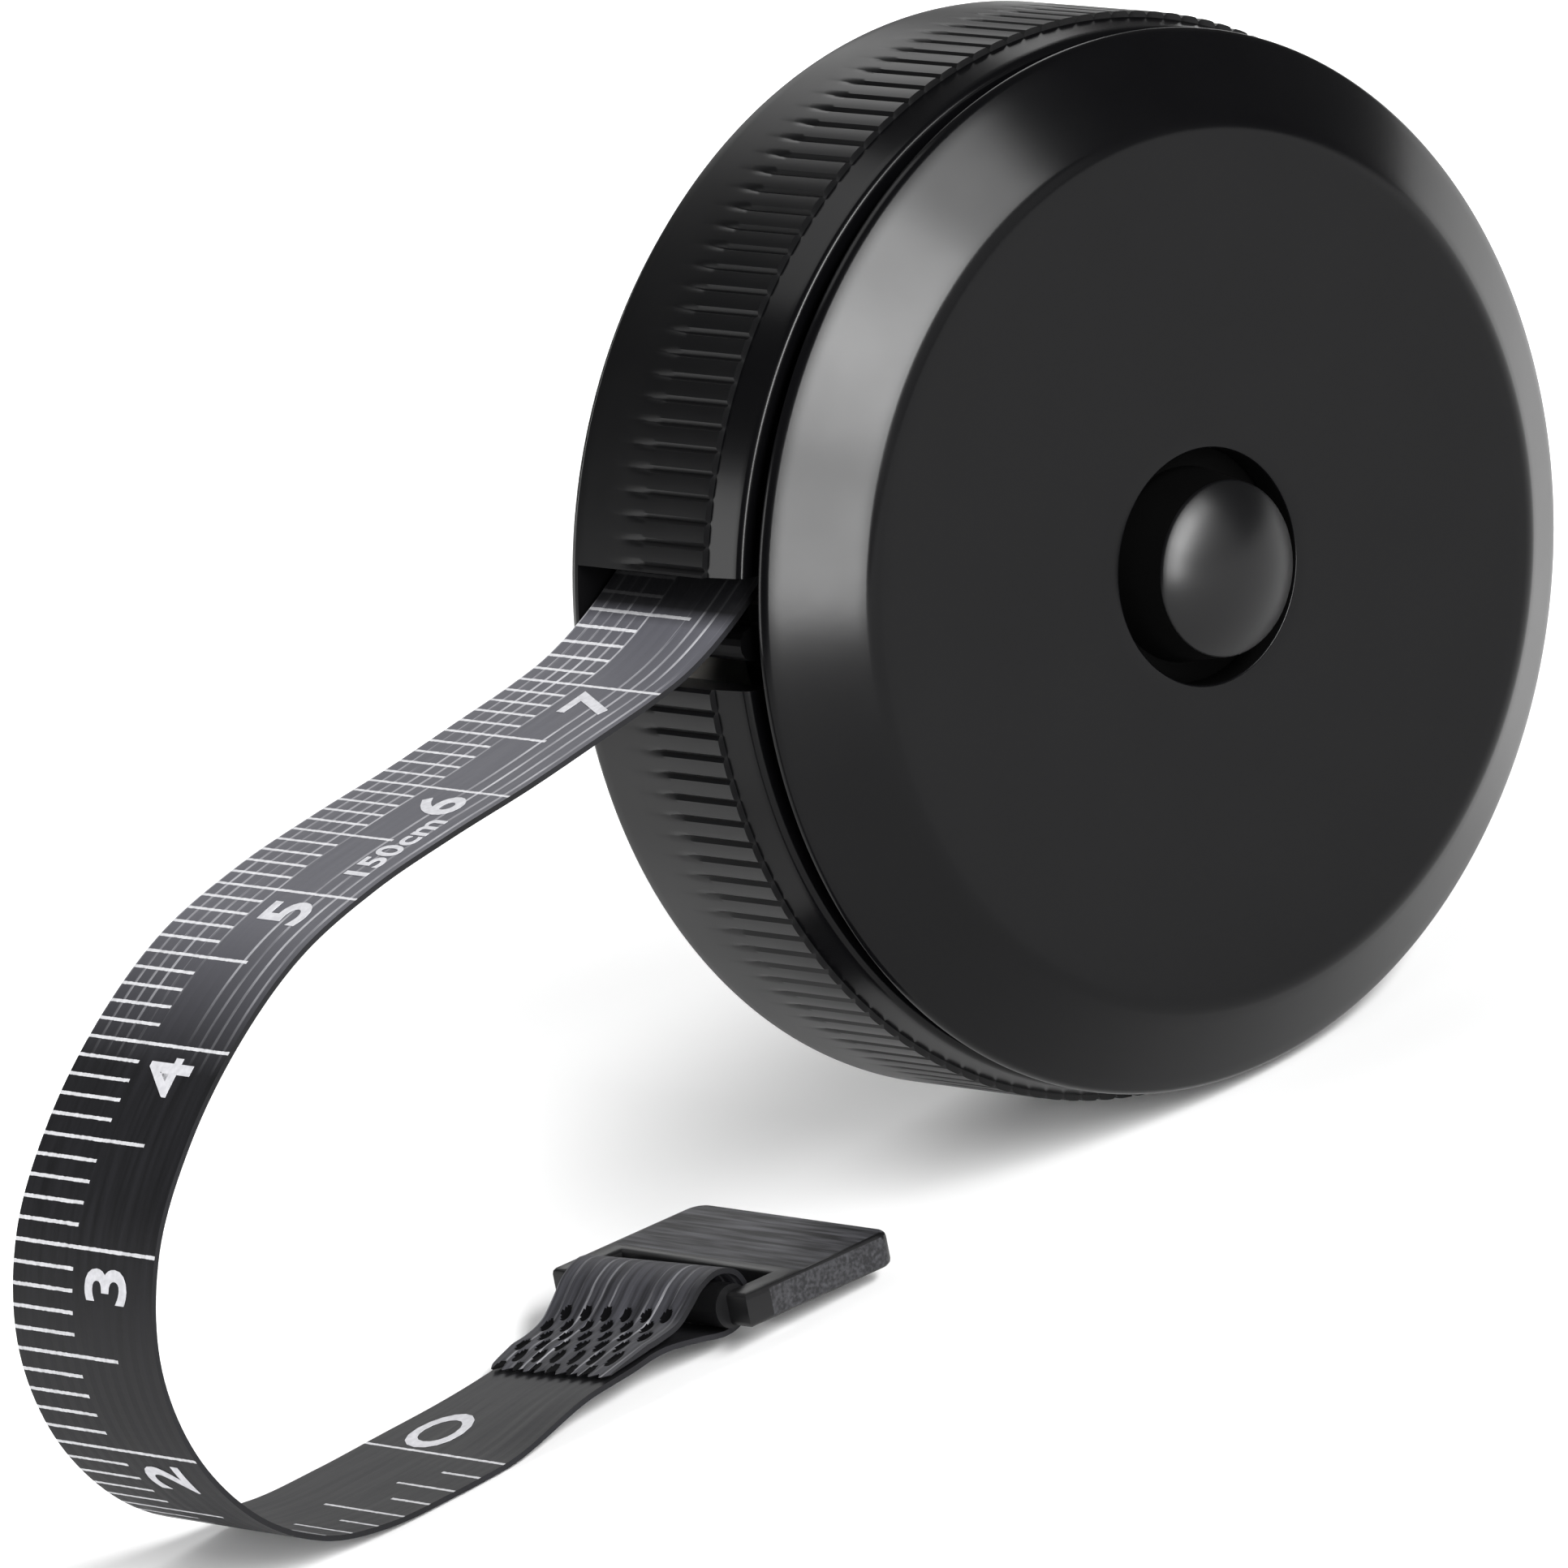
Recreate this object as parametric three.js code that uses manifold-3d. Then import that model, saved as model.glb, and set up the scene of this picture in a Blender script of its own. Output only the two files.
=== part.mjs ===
// Retractable cloth tape measure: a round case on its rim, tape drawn out at the left.
// Millimetres, +Z up. The case axis runs along Y and the front face looks toward -Y.
// The origin is on the ground under the middle of the case.

import * as THREE from 'three';
import { mergeVertices } from 'three/addons/utils/BufferGeometryUtils.js';
import Module from 'manifold-3d';

const wasm = await Module();
wasm.setup();

// Fits
const clearance = 0.3;          // between pieces that are seated on each other
const slipFit = 0.25;           // between pieces that turn or slide in each other

// Case
const rimRadius = 25.6;         // over the ribs and the smooth rear band
const ribCount = 144;
const ribDepth = 0.4;
const rimWall = 1.8;            // from the rib roots inward
const lipWidth = 1.9;           // smooth band in front of the ribs
const ribLength = 5.2;
const rearBandWidth = 4.1;      // smooth band behind the ribs
const rearEdgeRound = 0.4;
const grooveWidth = 1.3;        // shadow groove between the cover and the rim
const grooveDepth = 0.9;
const rearGrooveWidth = 0.4;
const coverStep = 0.6;          // the covers' edge stands back from the ribs
const coverEdge = 0.3;          // straight edge behind the bevel
const bevelDepth = 3.0;
const bevelWidth = 4.3;         // from the covers' edge in to the flat face
const coverWall = 1.4;
const spigotWall = 1.2;
const spigotLength = 2.2;       // how far a cover reaches into the rim

// Mouth, a slot in the rim on the left
const mouthAngle = 13.4;        // degrees above the horizontal
const mouthHeight = 5.25;
const mouthRearWall = 0.5;
const reliefAngle = 21;         // wider gap in the spigots, where the tape comes down from the winding
const reliefHeight = 13;
const guidePinRadius = 0.8;
const guidePinInset = 1.35;     // from the ribs in to the pin's middle
const guidePinDrop = 0.48;      // under the middle of the mouth

// Button
const buttonHoleRadius = 5.68;
const buttonRadius = 5.4;
const buttonCreaseRadius = 4.3;
const buttonCreaseHeight = 1.5;
const buttonProud = 2.4;        // from the flat face to the top of the dome
const buttonFlangeRadius = 7.1;
const buttonFlangeThickness = 0.9;
const buttonStemRadius = 5.9;
const buttonCavityRadius = 4.5;
const buttonRoof = 2.0;         // from the top of the dome to the cavity
const buttonBossRadius = 3.0;
const buttonBossLength = 4.0;
const buttonTravel = 1.0;

// Brake, spring and arbor
const brakeGap = 0.5;           // from the brake out to the inside of the hub
const brakeThickness = 1.0;
const brakeRingWidth = 1.2;
const brakeRingThickness = 0.3;
const returnSpringRadius = 3.7;
const returnSpringWire = 0.3;   // radius of the wire
const returnSpringTurns = 5;
const arborRadius = 3.0;
const arborSquare = 3.0;        // across flats
const arborTipGap = 1.0;        // left over the tip when the button is pressed
const bossHeight = 0.9;
const bossWall = 1.5;
const socketDepth = 0.4;
const washerThickness = 0.35;
const washerRadius = 4.2;
const washerBore = 2.3;         // clears the corners of the square

// Spool
const hubRadius = 10.8;
const hubWall = 1.2;
const flangeGap = 1.9;          // from the flanges out to the covers' spigots
const flangeThickness = 0.8;
const bushWall = 1.0;
const bushCollar = 0.9;
const bushCollarThickness = 0.4;
const springCoverThickness = 0.6;
const mainspringStrip = 0.35;
const mainspringTurns = 6;

// Tape
const tapeWidth = 9.9;
const tapeThickness = 0.4;
const windingThickness = 5.95;  // radial build of the layers on the hub
const loopStart = 7;            // place in the route where the free loop begins

// Tape route, X and Z of its middle line: winding, mouth, loop, ground, pull tab and back
const route = [
  [-8.2, 40.8],
  [-13.5, 37.9],
  [-19.0, 34.95],
  [-22.3, 33.15],
  [-24.2, 32.15],
  [-26.2, 31.3],
  [-28.0, 30.75],
  [-30.0, 30.4],
  [-33.5, 30.0],
  [-38.1, 29.5],
  [-43.4, 29.1],
  [-48.3, 28.55],
  [-53.3, 27.35],
  [-57.9, 25.0],
  [-62.1, 21.7],
  [-65.4, 17.6],
  [-66.9, 12.7],
  [-66.2, 7.9],
  [-63.6, 3.75],
  [-60.2, 1.35],
  [-56.6, 0.45],
  [-52.5, 0.25],
  [-48.5, 0.25],
  [-44.5, 0.25],
  [-41.0, 0.25],
  [-38.5, 0.28],
  [-36.4, 0.5],
  [-34.6, 0.7],
  [-33.57, 1.12],
  [-33.15, 2.15],
  [-33.57, 3.18],
  [-34.6, 3.6],
  [-35.7, 3.2],
  [-36.6, 2.3],
  [-37.5, 1.4],
  [-38.5, 1.03],
  [-40.2, 1.0],
];

// Pull tab
const barX = -34.6;
const barZ = 2.15;
const barRadius = 0.95;
const tabLength = 8.85;         // from the bar to the far end
const tabWidth = 13.7;
const tabAbove = 0.75;          // top of the plate over the bar's middle
const tabBelow = 0.9;
const tabShoulder = 1.3;        // where the full width begins
const tabSlot = 2.3;            // far wall of the slot
const tabArm = 0.85;
const tabCorner = 1.5;
const tabTilt = 3.5;            // degrees, the far end lies lower

// Facets round a full turn
const caseFacets = 72;
const innerFacets = 48;
const smallFacets = 32;

// Places along Y, worked out from the front of the button to the flat of the back
const rimWidth = lipWidth + ribLength + rearBandWidth;
const frontDepth = bevelDepth + coverEdge + grooveWidth;
const rearDepth = bevelDepth + coverEdge + rearGrooveWidth;
const overall = buttonProud + frontDepth + rimWidth + rearDepth;
const buttonTop = -overall / 2;
const frontFace = buttonTop + buttonProud;
const rimFront = frontFace + frontDepth;
const ribFront = rimFront + lipWidth;
const ribBack = ribFront + ribLength;
const rimBack = rimFront + rimWidth;
const rearFace = overall / 2;
const mouthBack = rimBack - mouthRearWall;
const coverRadius = rimRadius - coverStep;
const faceRadius = coverRadius - bevelWidth;
const rimInner = rimRadius - ribDepth - rimWall;
const spigotRadius = rimInner - clearance;
const spigotInner = spigotRadius - spigotWall;
const flangeRadius = spigotInner - flangeGap;
const axisZ = rimRadius;

// Tape and spool along Y: the tape keeps a clearance to the mouth's rear wall
const tapeBack = mouthBack - 2 * clearance;
const tapeFront = tapeBack - tapeWidth;
const rearFlange = tapeBack + clearance;
const drumBack = rearFlange + flangeThickness;
const flangeBack = tapeFront - clearance;
const flangeFront = flangeBack - flangeThickness;
const hubInner = hubRadius - hubWall;
const brakeRadius = hubInner - brakeGap;
const bossFront = rearFace - coverWall - bossHeight;

// Brake and button along Y
const brakeRingFront = flangeBack + slipFit;
const brakeFront = brakeRingFront + brakeRingThickness + slipFit;
const brakeBack = brakeFront + brakeThickness;
const springCoverFront = brakeBack + buttonTravel + 2 * clearance + washerThickness;
const springCoverBack = springCoverFront + springCoverThickness;
const shoulder = springCoverFront - clearance;
const washerFront = shoulder - slipFit - washerThickness;
const buttonFlangeFront = frontFace + coverWall + clearance;
const buttonFlangeBack = buttonFlangeFront + buttonFlangeThickness;
const cavityRoof = buttonTop + buttonRoof;
const stemBack = brakeFront - slipFit;

// A closed mesh with shared corners and its faces pointing out
function closed(geometry) {
  geometry.deleteAttribute('normal');
  geometry.deleteAttribute('uv');
  const merged = mergeVertices(geometry, 1e-4);
  const corners = merged.attributes.position.array;
  const kept = [];
  for (let i = 0; i < merged.index.count; i += 3) {
    const [a, b, c] = merged.index.array.slice(i, i + 3);
    if (a !== b && b !== c && c !== a) kept.push(a, b, c);
  }
  const at = (i) => new THREE.Vector3().fromArray(corners, 3 * i);
  let volume = 0;
  for (let i = 0; i < kept.length; i += 3) {
    volume += at(kept[i]).dot(at(kept[i + 1]).cross(at(kept[i + 2])));
  }
  merged.setIndex(volume < 0 ? kept.reverse() : kept);
  return merged;
}

function solidOf(geometry) {
  return new wasm.Manifold(new wasm.Mesh({
    numProp: 3,
    vertProperties: new Float32Array(geometry.attributes.position.array),
    triVerts: new Uint32Array(geometry.index.array),
  }));
}

function geometryOf(solid) {
  const mesh = solid.getMesh();
  const geometry = new THREE.BufferGeometry();
  geometry.setAttribute('position', new THREE.BufferAttribute(mesh.vertProperties, 3));
  geometry.setIndex(new THREE.BufferAttribute(mesh.triVerts, 1));
  return geometry;
}

function join(...geometries) {
  return geometryOf(geometries.map(solidOf).reduce((sum, next) => sum.add(next)));
}

function cut(geometry, ...tools) {
  return geometryOf(tools.map(solidOf).reduce((rest, tool) => rest.subtract(tool), solidOf(geometry)));
}

// A profile of [radius, y] points turned round the case axis; a ring's profile closes on itself
function turned(profile, facets) {
  const points = profile.map(([radius, y]) => new THREE.Vector2(radius, y));
  const onAxis = profile[0][0] === 0 && profile.at(-1)[0] === 0;
  if (!onAxis) points.push(points[0].clone());
  return closed(new THREE.LatheGeometry(points, facets, Math.PI));
}

function ring(inner, outer, front, back, facets) {
  return turned([[inner, front], [outer, front], [outer, back], [inner, back]], facets);
}

// An outline in X and Z pulled along Y from front to back
function pulled(shape, front, back) {
  const depth = back - front;
  const geometry = new THREE.ExtrudeGeometry(shape, { depth, bevelEnabled: false, curveSegments: 8 });
  geometry.rotateX(Math.PI / 2);
  geometry.translate(0, back, 0);
  return closed(geometry);
}

function outline(points) {
  return new THREE.Shape(points.map(([x, z]) => new THREE.Vector2(x, z)));
}

function rectangle(left, right, low, high) {
  return outline([[left, low], [right, low], [right, high], [left, high]]);
}

// A strip of even thickness along a line of points, as a closed outline
function strip(line, thickness) {
  const side = (sign) => line.map((point, i) => {
    const before = line[Math.max(i - 1, 0)];
    const after = line[Math.min(i + 1, line.length - 1)];
    const along = after.clone().sub(before).normalize();
    const across = new THREE.Vector2(-along.y, along.x);
    return point.clone().addScaledVector(across, sign * thickness / 2);
  });
  return new THREE.Shape([...side(1), ...side(-1).reverse()]);
}

function smoothLine(points, steps) {
  const corners = points.map(([x, z]) => new THREE.Vector3(x, 0, z));
  const curve = new THREE.CatmullRomCurve3(corners, false, 'centripetal');
  return curve.getSpacedPoints(steps).map((p) => new THREE.Vector2(p.x, p.z));
}

// Finishes
const blackAbs = () => new THREE.MeshStandardMaterial({ color: 0x1c1c1e, roughness: 0.28, metalness: 0 });
const innerPlastic = () => new THREE.MeshStandardMaterial({ color: 0xd8d6cf, roughness: 0.5, metalness: 0 });
const steel = () => new THREE.MeshStandardMaterial({ color: 0x9a9c9f, roughness: 0.35, metalness: 1 });
const rubber = () => new THREE.MeshStandardMaterial({ color: 0x2a2a2a, roughness: 0.9, metalness: 0 });
const coatedTape = () => new THREE.MeshStandardMaterial({ color: 0x2e2e33, roughness: 0.55, metalness: 0 });
const tabPlastic = () => new THREE.MeshStandardMaterial({ color: 0x38383b, roughness: 0.6, metalness: 0 });

const tapeMeasure = new THREE.Group();
const onCaseAxis = new THREE.Group();
onCaseAxis.position.z = axisZ;
tapeMeasure.add(onCaseAxis);

function add(group, name, geometry, material) {
  const mesh = new THREE.Mesh(geometry, material);
  mesh.name = name;
  group.add(mesh);
}

// A slot through the left of the case, from inside the spigots to outside the rim
function slotCutter(angle, height, front, back) {
  const inner = spigotInner - 2 * spigotWall;
  const outer = rimRadius + clearance;
  const shape = rectangle(-outer, -inner, -height / 2, height / 2);
  return pulled(shape, front, back).rotateY(THREE.MathUtils.degToRad(angle));
}

function mouthCutter() {
  return slotCutter(mouthAngle, mouthHeight, rimFront - grooveWidth + slipFit, mouthBack);
}

function reliefCutter() {
  return slotCutter(reliefAngle, reliefHeight, rimFront - clearance, rimBack + clearance);
}

// Cover: flat face, bevel, straight edge, groove neck and a spigot inside the rim.
// It is drawn for the front at its own y = 0 face and mirrored for the back.
function coverProfile(holeRadius, groove) {
  const edge = bevelDepth + coverEdge;
  const seat = edge + groove;
  const neck = coverRadius - grooveDepth;
  const end = seat + spigotLength;
  const slopeInset = coverWall * bevelWidth / bevelDepth / 2;
  return [
    [holeRadius, 0],
    [faceRadius, 0],
    [coverRadius, bevelDepth],
    [coverRadius, edge],
    [neck, edge],
    [neck, seat - clearance],
    [spigotRadius, seat - clearance],
    [spigotRadius, end],
    [spigotInner, end],
    [spigotInner, bevelDepth + coverWall / 2],
    [faceRadius - slopeInset, coverWall],
    [holeRadius, coverWall],
  ];
}

function frontCover() {
  const profile = coverProfile(buttonHoleRadius, grooveWidth).map(([r, y]) => [r, frontFace + y]);
  return cut(turned(profile, caseFacets), mouthCutter(), reliefCutter());
}

// The back is closed and carries the arbor in a socket
function rearCover() {
  const socketRadius = arborRadius + slipFit;
  const bossRadius = socketRadius + bossWall;
  const shell = coverProfile(bossRadius, rearGrooveWidth).slice(1, -1);
  const profile = [
    [0, rearFace],
    ...shell.map(([r, y]) => [r, rearFace - y]),
    [bossRadius, rearFace - coverWall],
    [bossRadius, bossFront],
    [socketRadius, bossFront],
    [socketRadius, rearFace - coverWall + socketDepth],
    [0, rearFace - coverWall + socketDepth],
  ];
  return cut(turned(profile, caseFacets), reliefCutter());
}

// Rim: smooth lip, fine ribs, smooth rear band with a rounded edge
function rimBand() {
  const root = rimRadius - ribDepth;
  const band = turned([
    [rimInner, rimFront],
    [root - rearEdgeRound / 2, rimFront],
    [root, rimFront + rearEdgeRound / 2],
    [root, ribBack],
    [rimRadius, ribBack],
    [rimRadius, rimBack - rearEdgeRound],
    [rimRadius - rearEdgeRound, rimBack],
    [rimInner, rimBack],
  ], caseFacets);
  const teeth = [];
  for (let i = 0; i < 2 * ribCount; i += 1) {
    const angle = i * Math.PI / ribCount;
    const radius = i % 2 === 0 ? rimRadius : root;
    teeth.push([radius * Math.cos(angle), radius * Math.sin(angle)]);
  }
  const ribs = outline(teeth);
  ribs.holes.push(new THREE.Path().absarc(0, 0, root - rimWall / 2, 0, 2 * Math.PI, true));
  return cut(join(band, pulled(ribs, ribFront, ribBack + slipFit)), mouthCutter());
}

// Points of a round cap from its top out to its edge
function domeProfile(edgeRadius, height, steps) {
  const ball = (edgeRadius ** 2 + height ** 2) / (2 * height);
  const reach = Math.asin(edgeRadius / ball);
  return Array.from({ length: steps + 1 }, (_, i) => {
    const angle = reach * i / steps;
    return [ball * Math.sin(angle), ball * (1 - Math.cos(angle))];
  });
}

function buttonSolid() {
  const dome = domeProfile(buttonCreaseRadius, buttonProud - buttonCreaseHeight, 4);
  const cap = turned([
    ...dome.map(([r, y]) => [r, buttonTop + y]),
    [buttonRadius, frontFace],
    [buttonRadius, buttonFlangeFront],
    [buttonFlangeRadius, buttonFlangeFront],
    [buttonFlangeRadius, buttonFlangeBack],
    [buttonStemRadius, buttonFlangeBack],
    [buttonStemRadius, stemBack],
    [buttonCavityRadius, stemBack],
    [buttonCavityRadius, cavityRoof],
    [0, cavityRoof],
  ], innerFacets);
  const half = arborSquare / 2 + slipFit;
  const boss = new THREE.Shape().absarc(0, 0, buttonBossRadius, 0, 2 * Math.PI);
  boss.holes.push(new THREE.Path([
    new THREE.Vector2(-half, -half),
    new THREE.Vector2(-half, half),
    new THREE.Vector2(half, half),
    new THREE.Vector2(half, -half),
  ]));
  return join(cap, pulled(boss, cavityRoof - clearance, cavityRoof + buttonBossLength));
}

function arborSolid() {
  const back = rearFace - coverWall + socketDepth - clearance;
  const tip = cavityRoof + buttonTravel + arborTipGap;
  const half = arborSquare / 2;
  const post = turned([[0, shoulder], [arborRadius, shoulder], [arborRadius, back], [0, back]], smallFacets);
  return join(post, pulled(rectangle(-half, half, -half, half), tip, shoulder + clearance));
}

// Coil between the washer on the arbor and the roof of the button's cavity
function returnSpring() {
  const front = cavityRoof + clearance + returnSpringWire;
  const back = washerFront - clearance - returnSpringWire;
  const steps = 8 * returnSpringTurns;
  const turns = [];
  for (let i = 0; i <= steps; i += 1) {
    const angle = i * 2 * Math.PI / 8;
    const y = front + (back - front) * i / steps;
    const x = returnSpringRadius * Math.cos(angle);
    turns.push(new THREE.Vector3(x, y, returnSpringRadius * Math.sin(angle)));
  }
  const wire = new THREE.Shape();
  for (let i = 0; i < 5; i += 1) {
    const angle = i * 2 * Math.PI / 5;
    const corner = [returnSpringWire * Math.cos(angle), returnSpringWire * Math.sin(angle)];
    if (i === 0) wire.moveTo(...corner);
    else wire.lineTo(...corner);
  }
  const extrudePath = new THREE.CatmullRomCurve3(turns);
  return closed(new THREE.ExtrudeGeometry(wire, { extrudePath, steps, bevelEnabled: false }));
}

// Hub with the rear flange and its bearing hole
function spoolDrum() {
  const bore = arborRadius + slipFit + bushWall + slipFit;
  return turned([
    [hubInner, flangeBack + slipFit],
    [hubRadius, flangeBack + slipFit],
    [hubRadius, rearFlange],
    [flangeRadius, rearFlange],
    [flangeRadius, drumBack],
    [bore, drumBack],
    [bore, rearFlange],
    [hubInner, rearFlange],
  ], innerFacets);
}

function spoolBush() {
  const inner = arborRadius + slipFit;
  const outer = inner + bushWall;
  const collarBack = rearFlange - slipFit;
  return turned([
    [inner, collarBack - bushCollarThickness],
    [outer + bushCollar, collarBack - bushCollarThickness],
    [outer + bushCollar, collarBack],
    [outer, collarBack],
    [outer, drumBack],
    [inner, drumBack],
  ], smallFacets);
}

// Flat spiral spring from the arbor to the inside of the hub
function mainspringSolid() {
  const inner = arborRadius + clearance + mainspringStrip / 2;
  const outer = hubInner - clearance - mainspringStrip / 2;
  const steps = 28 * mainspringTurns;
  const line = [];
  for (let i = 0; i <= steps; i += 1) {
    const angle = i * 2 * Math.PI / 28;
    const radius = inner + (outer - inner) * i / steps;
    line.push(new THREE.Vector2(radius * Math.cos(angle), radius * Math.sin(angle)));
  }
  const front = springCoverBack + clearance;
  const back = rearFlange - slipFit - bushCollarThickness - clearance;
  return pulled(strip(line, mainspringStrip), front, back);
}

// Layers of tape on the hub; the outside steps up by one layer where the free tape leaves
function tapeWinding() {
  const inner = hubRadius + clearance;
  const outer = hubRadius + windingThickness;
  const [leaveX, leaveZ] = route[0];
  const leave = Math.atan2(leaveZ - axisZ, leaveX);
  const step = tapeThickness + clearance;
  const endGap = clearance / outer;
  const points = [];
  for (let i = 0; i <= innerFacets; i += 1) {
    const share = i / innerFacets;
    const angle = leave + share * 2 * Math.PI - endGap;
    const radius = outer + step * share;
    points.push([radius * Math.cos(angle), radius * Math.sin(angle)]);
  }
  const shape = outline(points);
  shape.holes.push(new THREE.Path().absarc(0, 0, inner, 0, 2 * Math.PI, true));
  return pulled(shape, tapeFront, tapeBack);
}

// Free tape: the stretch through the mouth, and the loop with the folded end
function tapeSpan() {
  const line = smoothLine(route.slice(0, loopStart), 16);
  return pulled(strip(line, tapeThickness), tapeFront, tapeBack);
}

function tapeLoop() {
  const [x, z] = route[loopStart - 1];
  const start = [x - clearance, z - clearance / 4];
  const line = smoothLine([start, ...route.slice(loopStart)], 72);
  return pulled(strip(line, tapeThickness), tapeFront, tapeBack);
}

// Pull tab: a plate with two arms that hold a round bar in the fold of the tape
function endTab() {
  const half = tabWidth / 2;
  const armOuter = tapeWidth / 2 + clearance + tabArm;
  const armInner = armOuter - tabArm;
  const plate = new THREE.Shape();
  plate.moveTo(0, -armOuter);
  plate.lineTo(tabShoulder, -armOuter);
  plate.lineTo(tabShoulder, -half);
  plate.lineTo(tabLength - tabCorner, -half);
  plate.absarc(tabLength - tabCorner, tabCorner - half, tabCorner, -Math.PI / 2, 0);
  plate.lineTo(tabLength, half - tabCorner);
  plate.absarc(tabLength - tabCorner, half - tabCorner, tabCorner, 0, Math.PI / 2);
  plate.lineTo(tabShoulder, half);
  plate.lineTo(tabShoulder, armOuter);
  plate.lineTo(0, armOuter);
  plate.lineTo(0, armInner);
  plate.lineTo(tabSlot, armInner);
  plate.lineTo(tabSlot, -armInner);
  plate.lineTo(0, -armInner);
  const depth = tabAbove + tabBelow;
  const slab = new THREE.ExtrudeGeometry(plate, { depth, bevelEnabled: false, curveSegments: 5 });
  slab.translate(0, 0, -tabBelow);
  const bar = new THREE.CylinderGeometry(barRadius, barRadius, 2 * armOuter, 20);
  return join(closed(slab), closed(bar));
}

// Case
add(onCaseAxis, 'front_cover', frontCover(), blackAbs());
add(onCaseAxis, 'rim_band', rimBand(), blackAbs());
add(onCaseAxis, 'rear_cover', rearCover(), blackAbs());
add(onCaseAxis, 'arbor', arborSolid(), steel());
const springWasher = ring(washerBore, washerRadius, washerFront, washerFront + washerThickness, smallFacets);
add(onCaseAxis, 'spring_washer', springWasher, steel());
const thrustFront = (drumBack + bossFront - washerThickness) / 2;
const thrustBore = arborRadius + slipFit;
const thrustBack = thrustFront + washerThickness;
const thrustRing = ring(thrustBore, thrustBore + bossWall, thrustFront, thrustBack, smallFacets);
add(onCaseAxis, 'thrust_washer', thrustRing, innerPlastic());
const pinLength = mouthBack - clearance - rimFront;
const guidePin = new THREE.CylinderGeometry(guidePinRadius, guidePinRadius, pinLength, 16);
guidePin.translate(guidePinInset - rimRadius, rimFront + pinLength / 2, -guidePinDrop);
guidePin.rotateY(THREE.MathUtils.degToRad(mouthAngle));
add(onCaseAxis, 'mouth_guide_pin', closed(guidePin), steel());

// Button and brake
add(onCaseAxis, 'button', buttonSolid(), blackAbs());
add(onCaseAxis, 'button_spring', returnSpring(), steel());
const brakeDisc = ring(buttonCavityRadius, brakeRadius, brakeFront, brakeBack, innerFacets);
add(onCaseAxis, 'brake_disc', brakeDisc, innerPlastic());
const brakeRingBack = brakeRingFront + brakeRingThickness;
const brakeRingInner = brakeRadius - brakeRingWidth;
const brakeRing = ring(brakeRingInner, brakeRadius, brakeRingFront, brakeRingBack, innerFacets);
add(onCaseAxis, 'brake_ring', brakeRing, rubber());

// Spool
add(onCaseAxis, 'spool_drum', spoolDrum(), innerPlastic());
const flangeBore = buttonFlangeRadius + clearance;
const flangeRing = ring(flangeBore, flangeRadius, flangeFront, flangeBack, innerFacets);
add(onCaseAxis, 'spool_front_flange', flangeRing, innerPlastic());
add(onCaseAxis, 'spool_bush', spoolBush(), innerPlastic());
add(onCaseAxis, 'mainspring', mainspringSolid(), steel());
const coverBore = arborRadius + slipFit;
const coverOuter = hubInner - slipFit;
const springCover = ring(coverBore, coverOuter, springCoverFront, springCoverBack, innerFacets);
add(onCaseAxis, 'mainspring_cover', springCover, innerPlastic());
add(onCaseAxis, 'tape_winding', tapeWinding(), coatedTape());

// Free tape and pull tab
add(tapeMeasure, 'tape_span', tapeSpan(), coatedTape());
add(tapeMeasure, 'tape_loop', tapeLoop(), coatedTape());
const tabSeat = new THREE.Group();
tabSeat.position.set(barX, (tapeFront + tapeBack) / 2, barZ);
tabSeat.rotation.y = THREE.MathUtils.degToRad(tabTilt);
tapeMeasure.add(tabSeat);
add(tabSeat, 'end_tab', endTab(), tabPlastic());

export default tapeMeasure;
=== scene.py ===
import bpy
import bmesh
import math
from mathutils import Matrix, Quaternion, Vector


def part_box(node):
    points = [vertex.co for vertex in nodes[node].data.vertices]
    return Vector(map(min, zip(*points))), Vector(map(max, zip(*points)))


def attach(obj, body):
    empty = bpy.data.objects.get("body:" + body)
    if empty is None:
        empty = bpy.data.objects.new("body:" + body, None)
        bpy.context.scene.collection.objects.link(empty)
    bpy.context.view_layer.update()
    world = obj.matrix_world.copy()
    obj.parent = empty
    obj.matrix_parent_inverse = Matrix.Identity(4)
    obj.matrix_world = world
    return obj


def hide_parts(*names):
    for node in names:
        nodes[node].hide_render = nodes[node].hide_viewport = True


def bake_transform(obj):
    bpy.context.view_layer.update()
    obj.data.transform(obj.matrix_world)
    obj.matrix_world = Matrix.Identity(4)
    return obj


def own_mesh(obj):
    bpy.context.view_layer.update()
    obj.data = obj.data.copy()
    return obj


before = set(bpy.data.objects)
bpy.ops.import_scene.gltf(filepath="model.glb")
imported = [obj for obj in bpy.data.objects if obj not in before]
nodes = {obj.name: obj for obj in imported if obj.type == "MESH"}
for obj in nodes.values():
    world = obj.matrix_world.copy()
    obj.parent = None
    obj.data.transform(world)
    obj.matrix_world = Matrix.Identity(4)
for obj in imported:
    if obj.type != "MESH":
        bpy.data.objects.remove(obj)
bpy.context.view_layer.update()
scene = bpy.context.scene
scene.view_settings.view_transform = "Standard"
mm = 0.001
print("frame loaded:", len(nodes), "nodes")


# camera: long lens, turned a little about its own axis as in the photograph
cameraSet = {
    "target": (-20.0, 1.056, 21.879),
    "distance": 1039.3,
    "azimuth": -38.345,
    "elevation": 17.551,
    "roll": 14.10,
    "lens": 513.54,
    "sensor": 36.0,
    "clip": (0.01, 20.0),
}


# direction from the target to the camera
def cameraSide(s):
    az, el = math.radians(s["azimuth"]), math.radians(s["elevation"])
    return Vector((math.sin(az) * math.cos(el), -math.cos(az) * math.cos(el), math.sin(el)))


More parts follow.
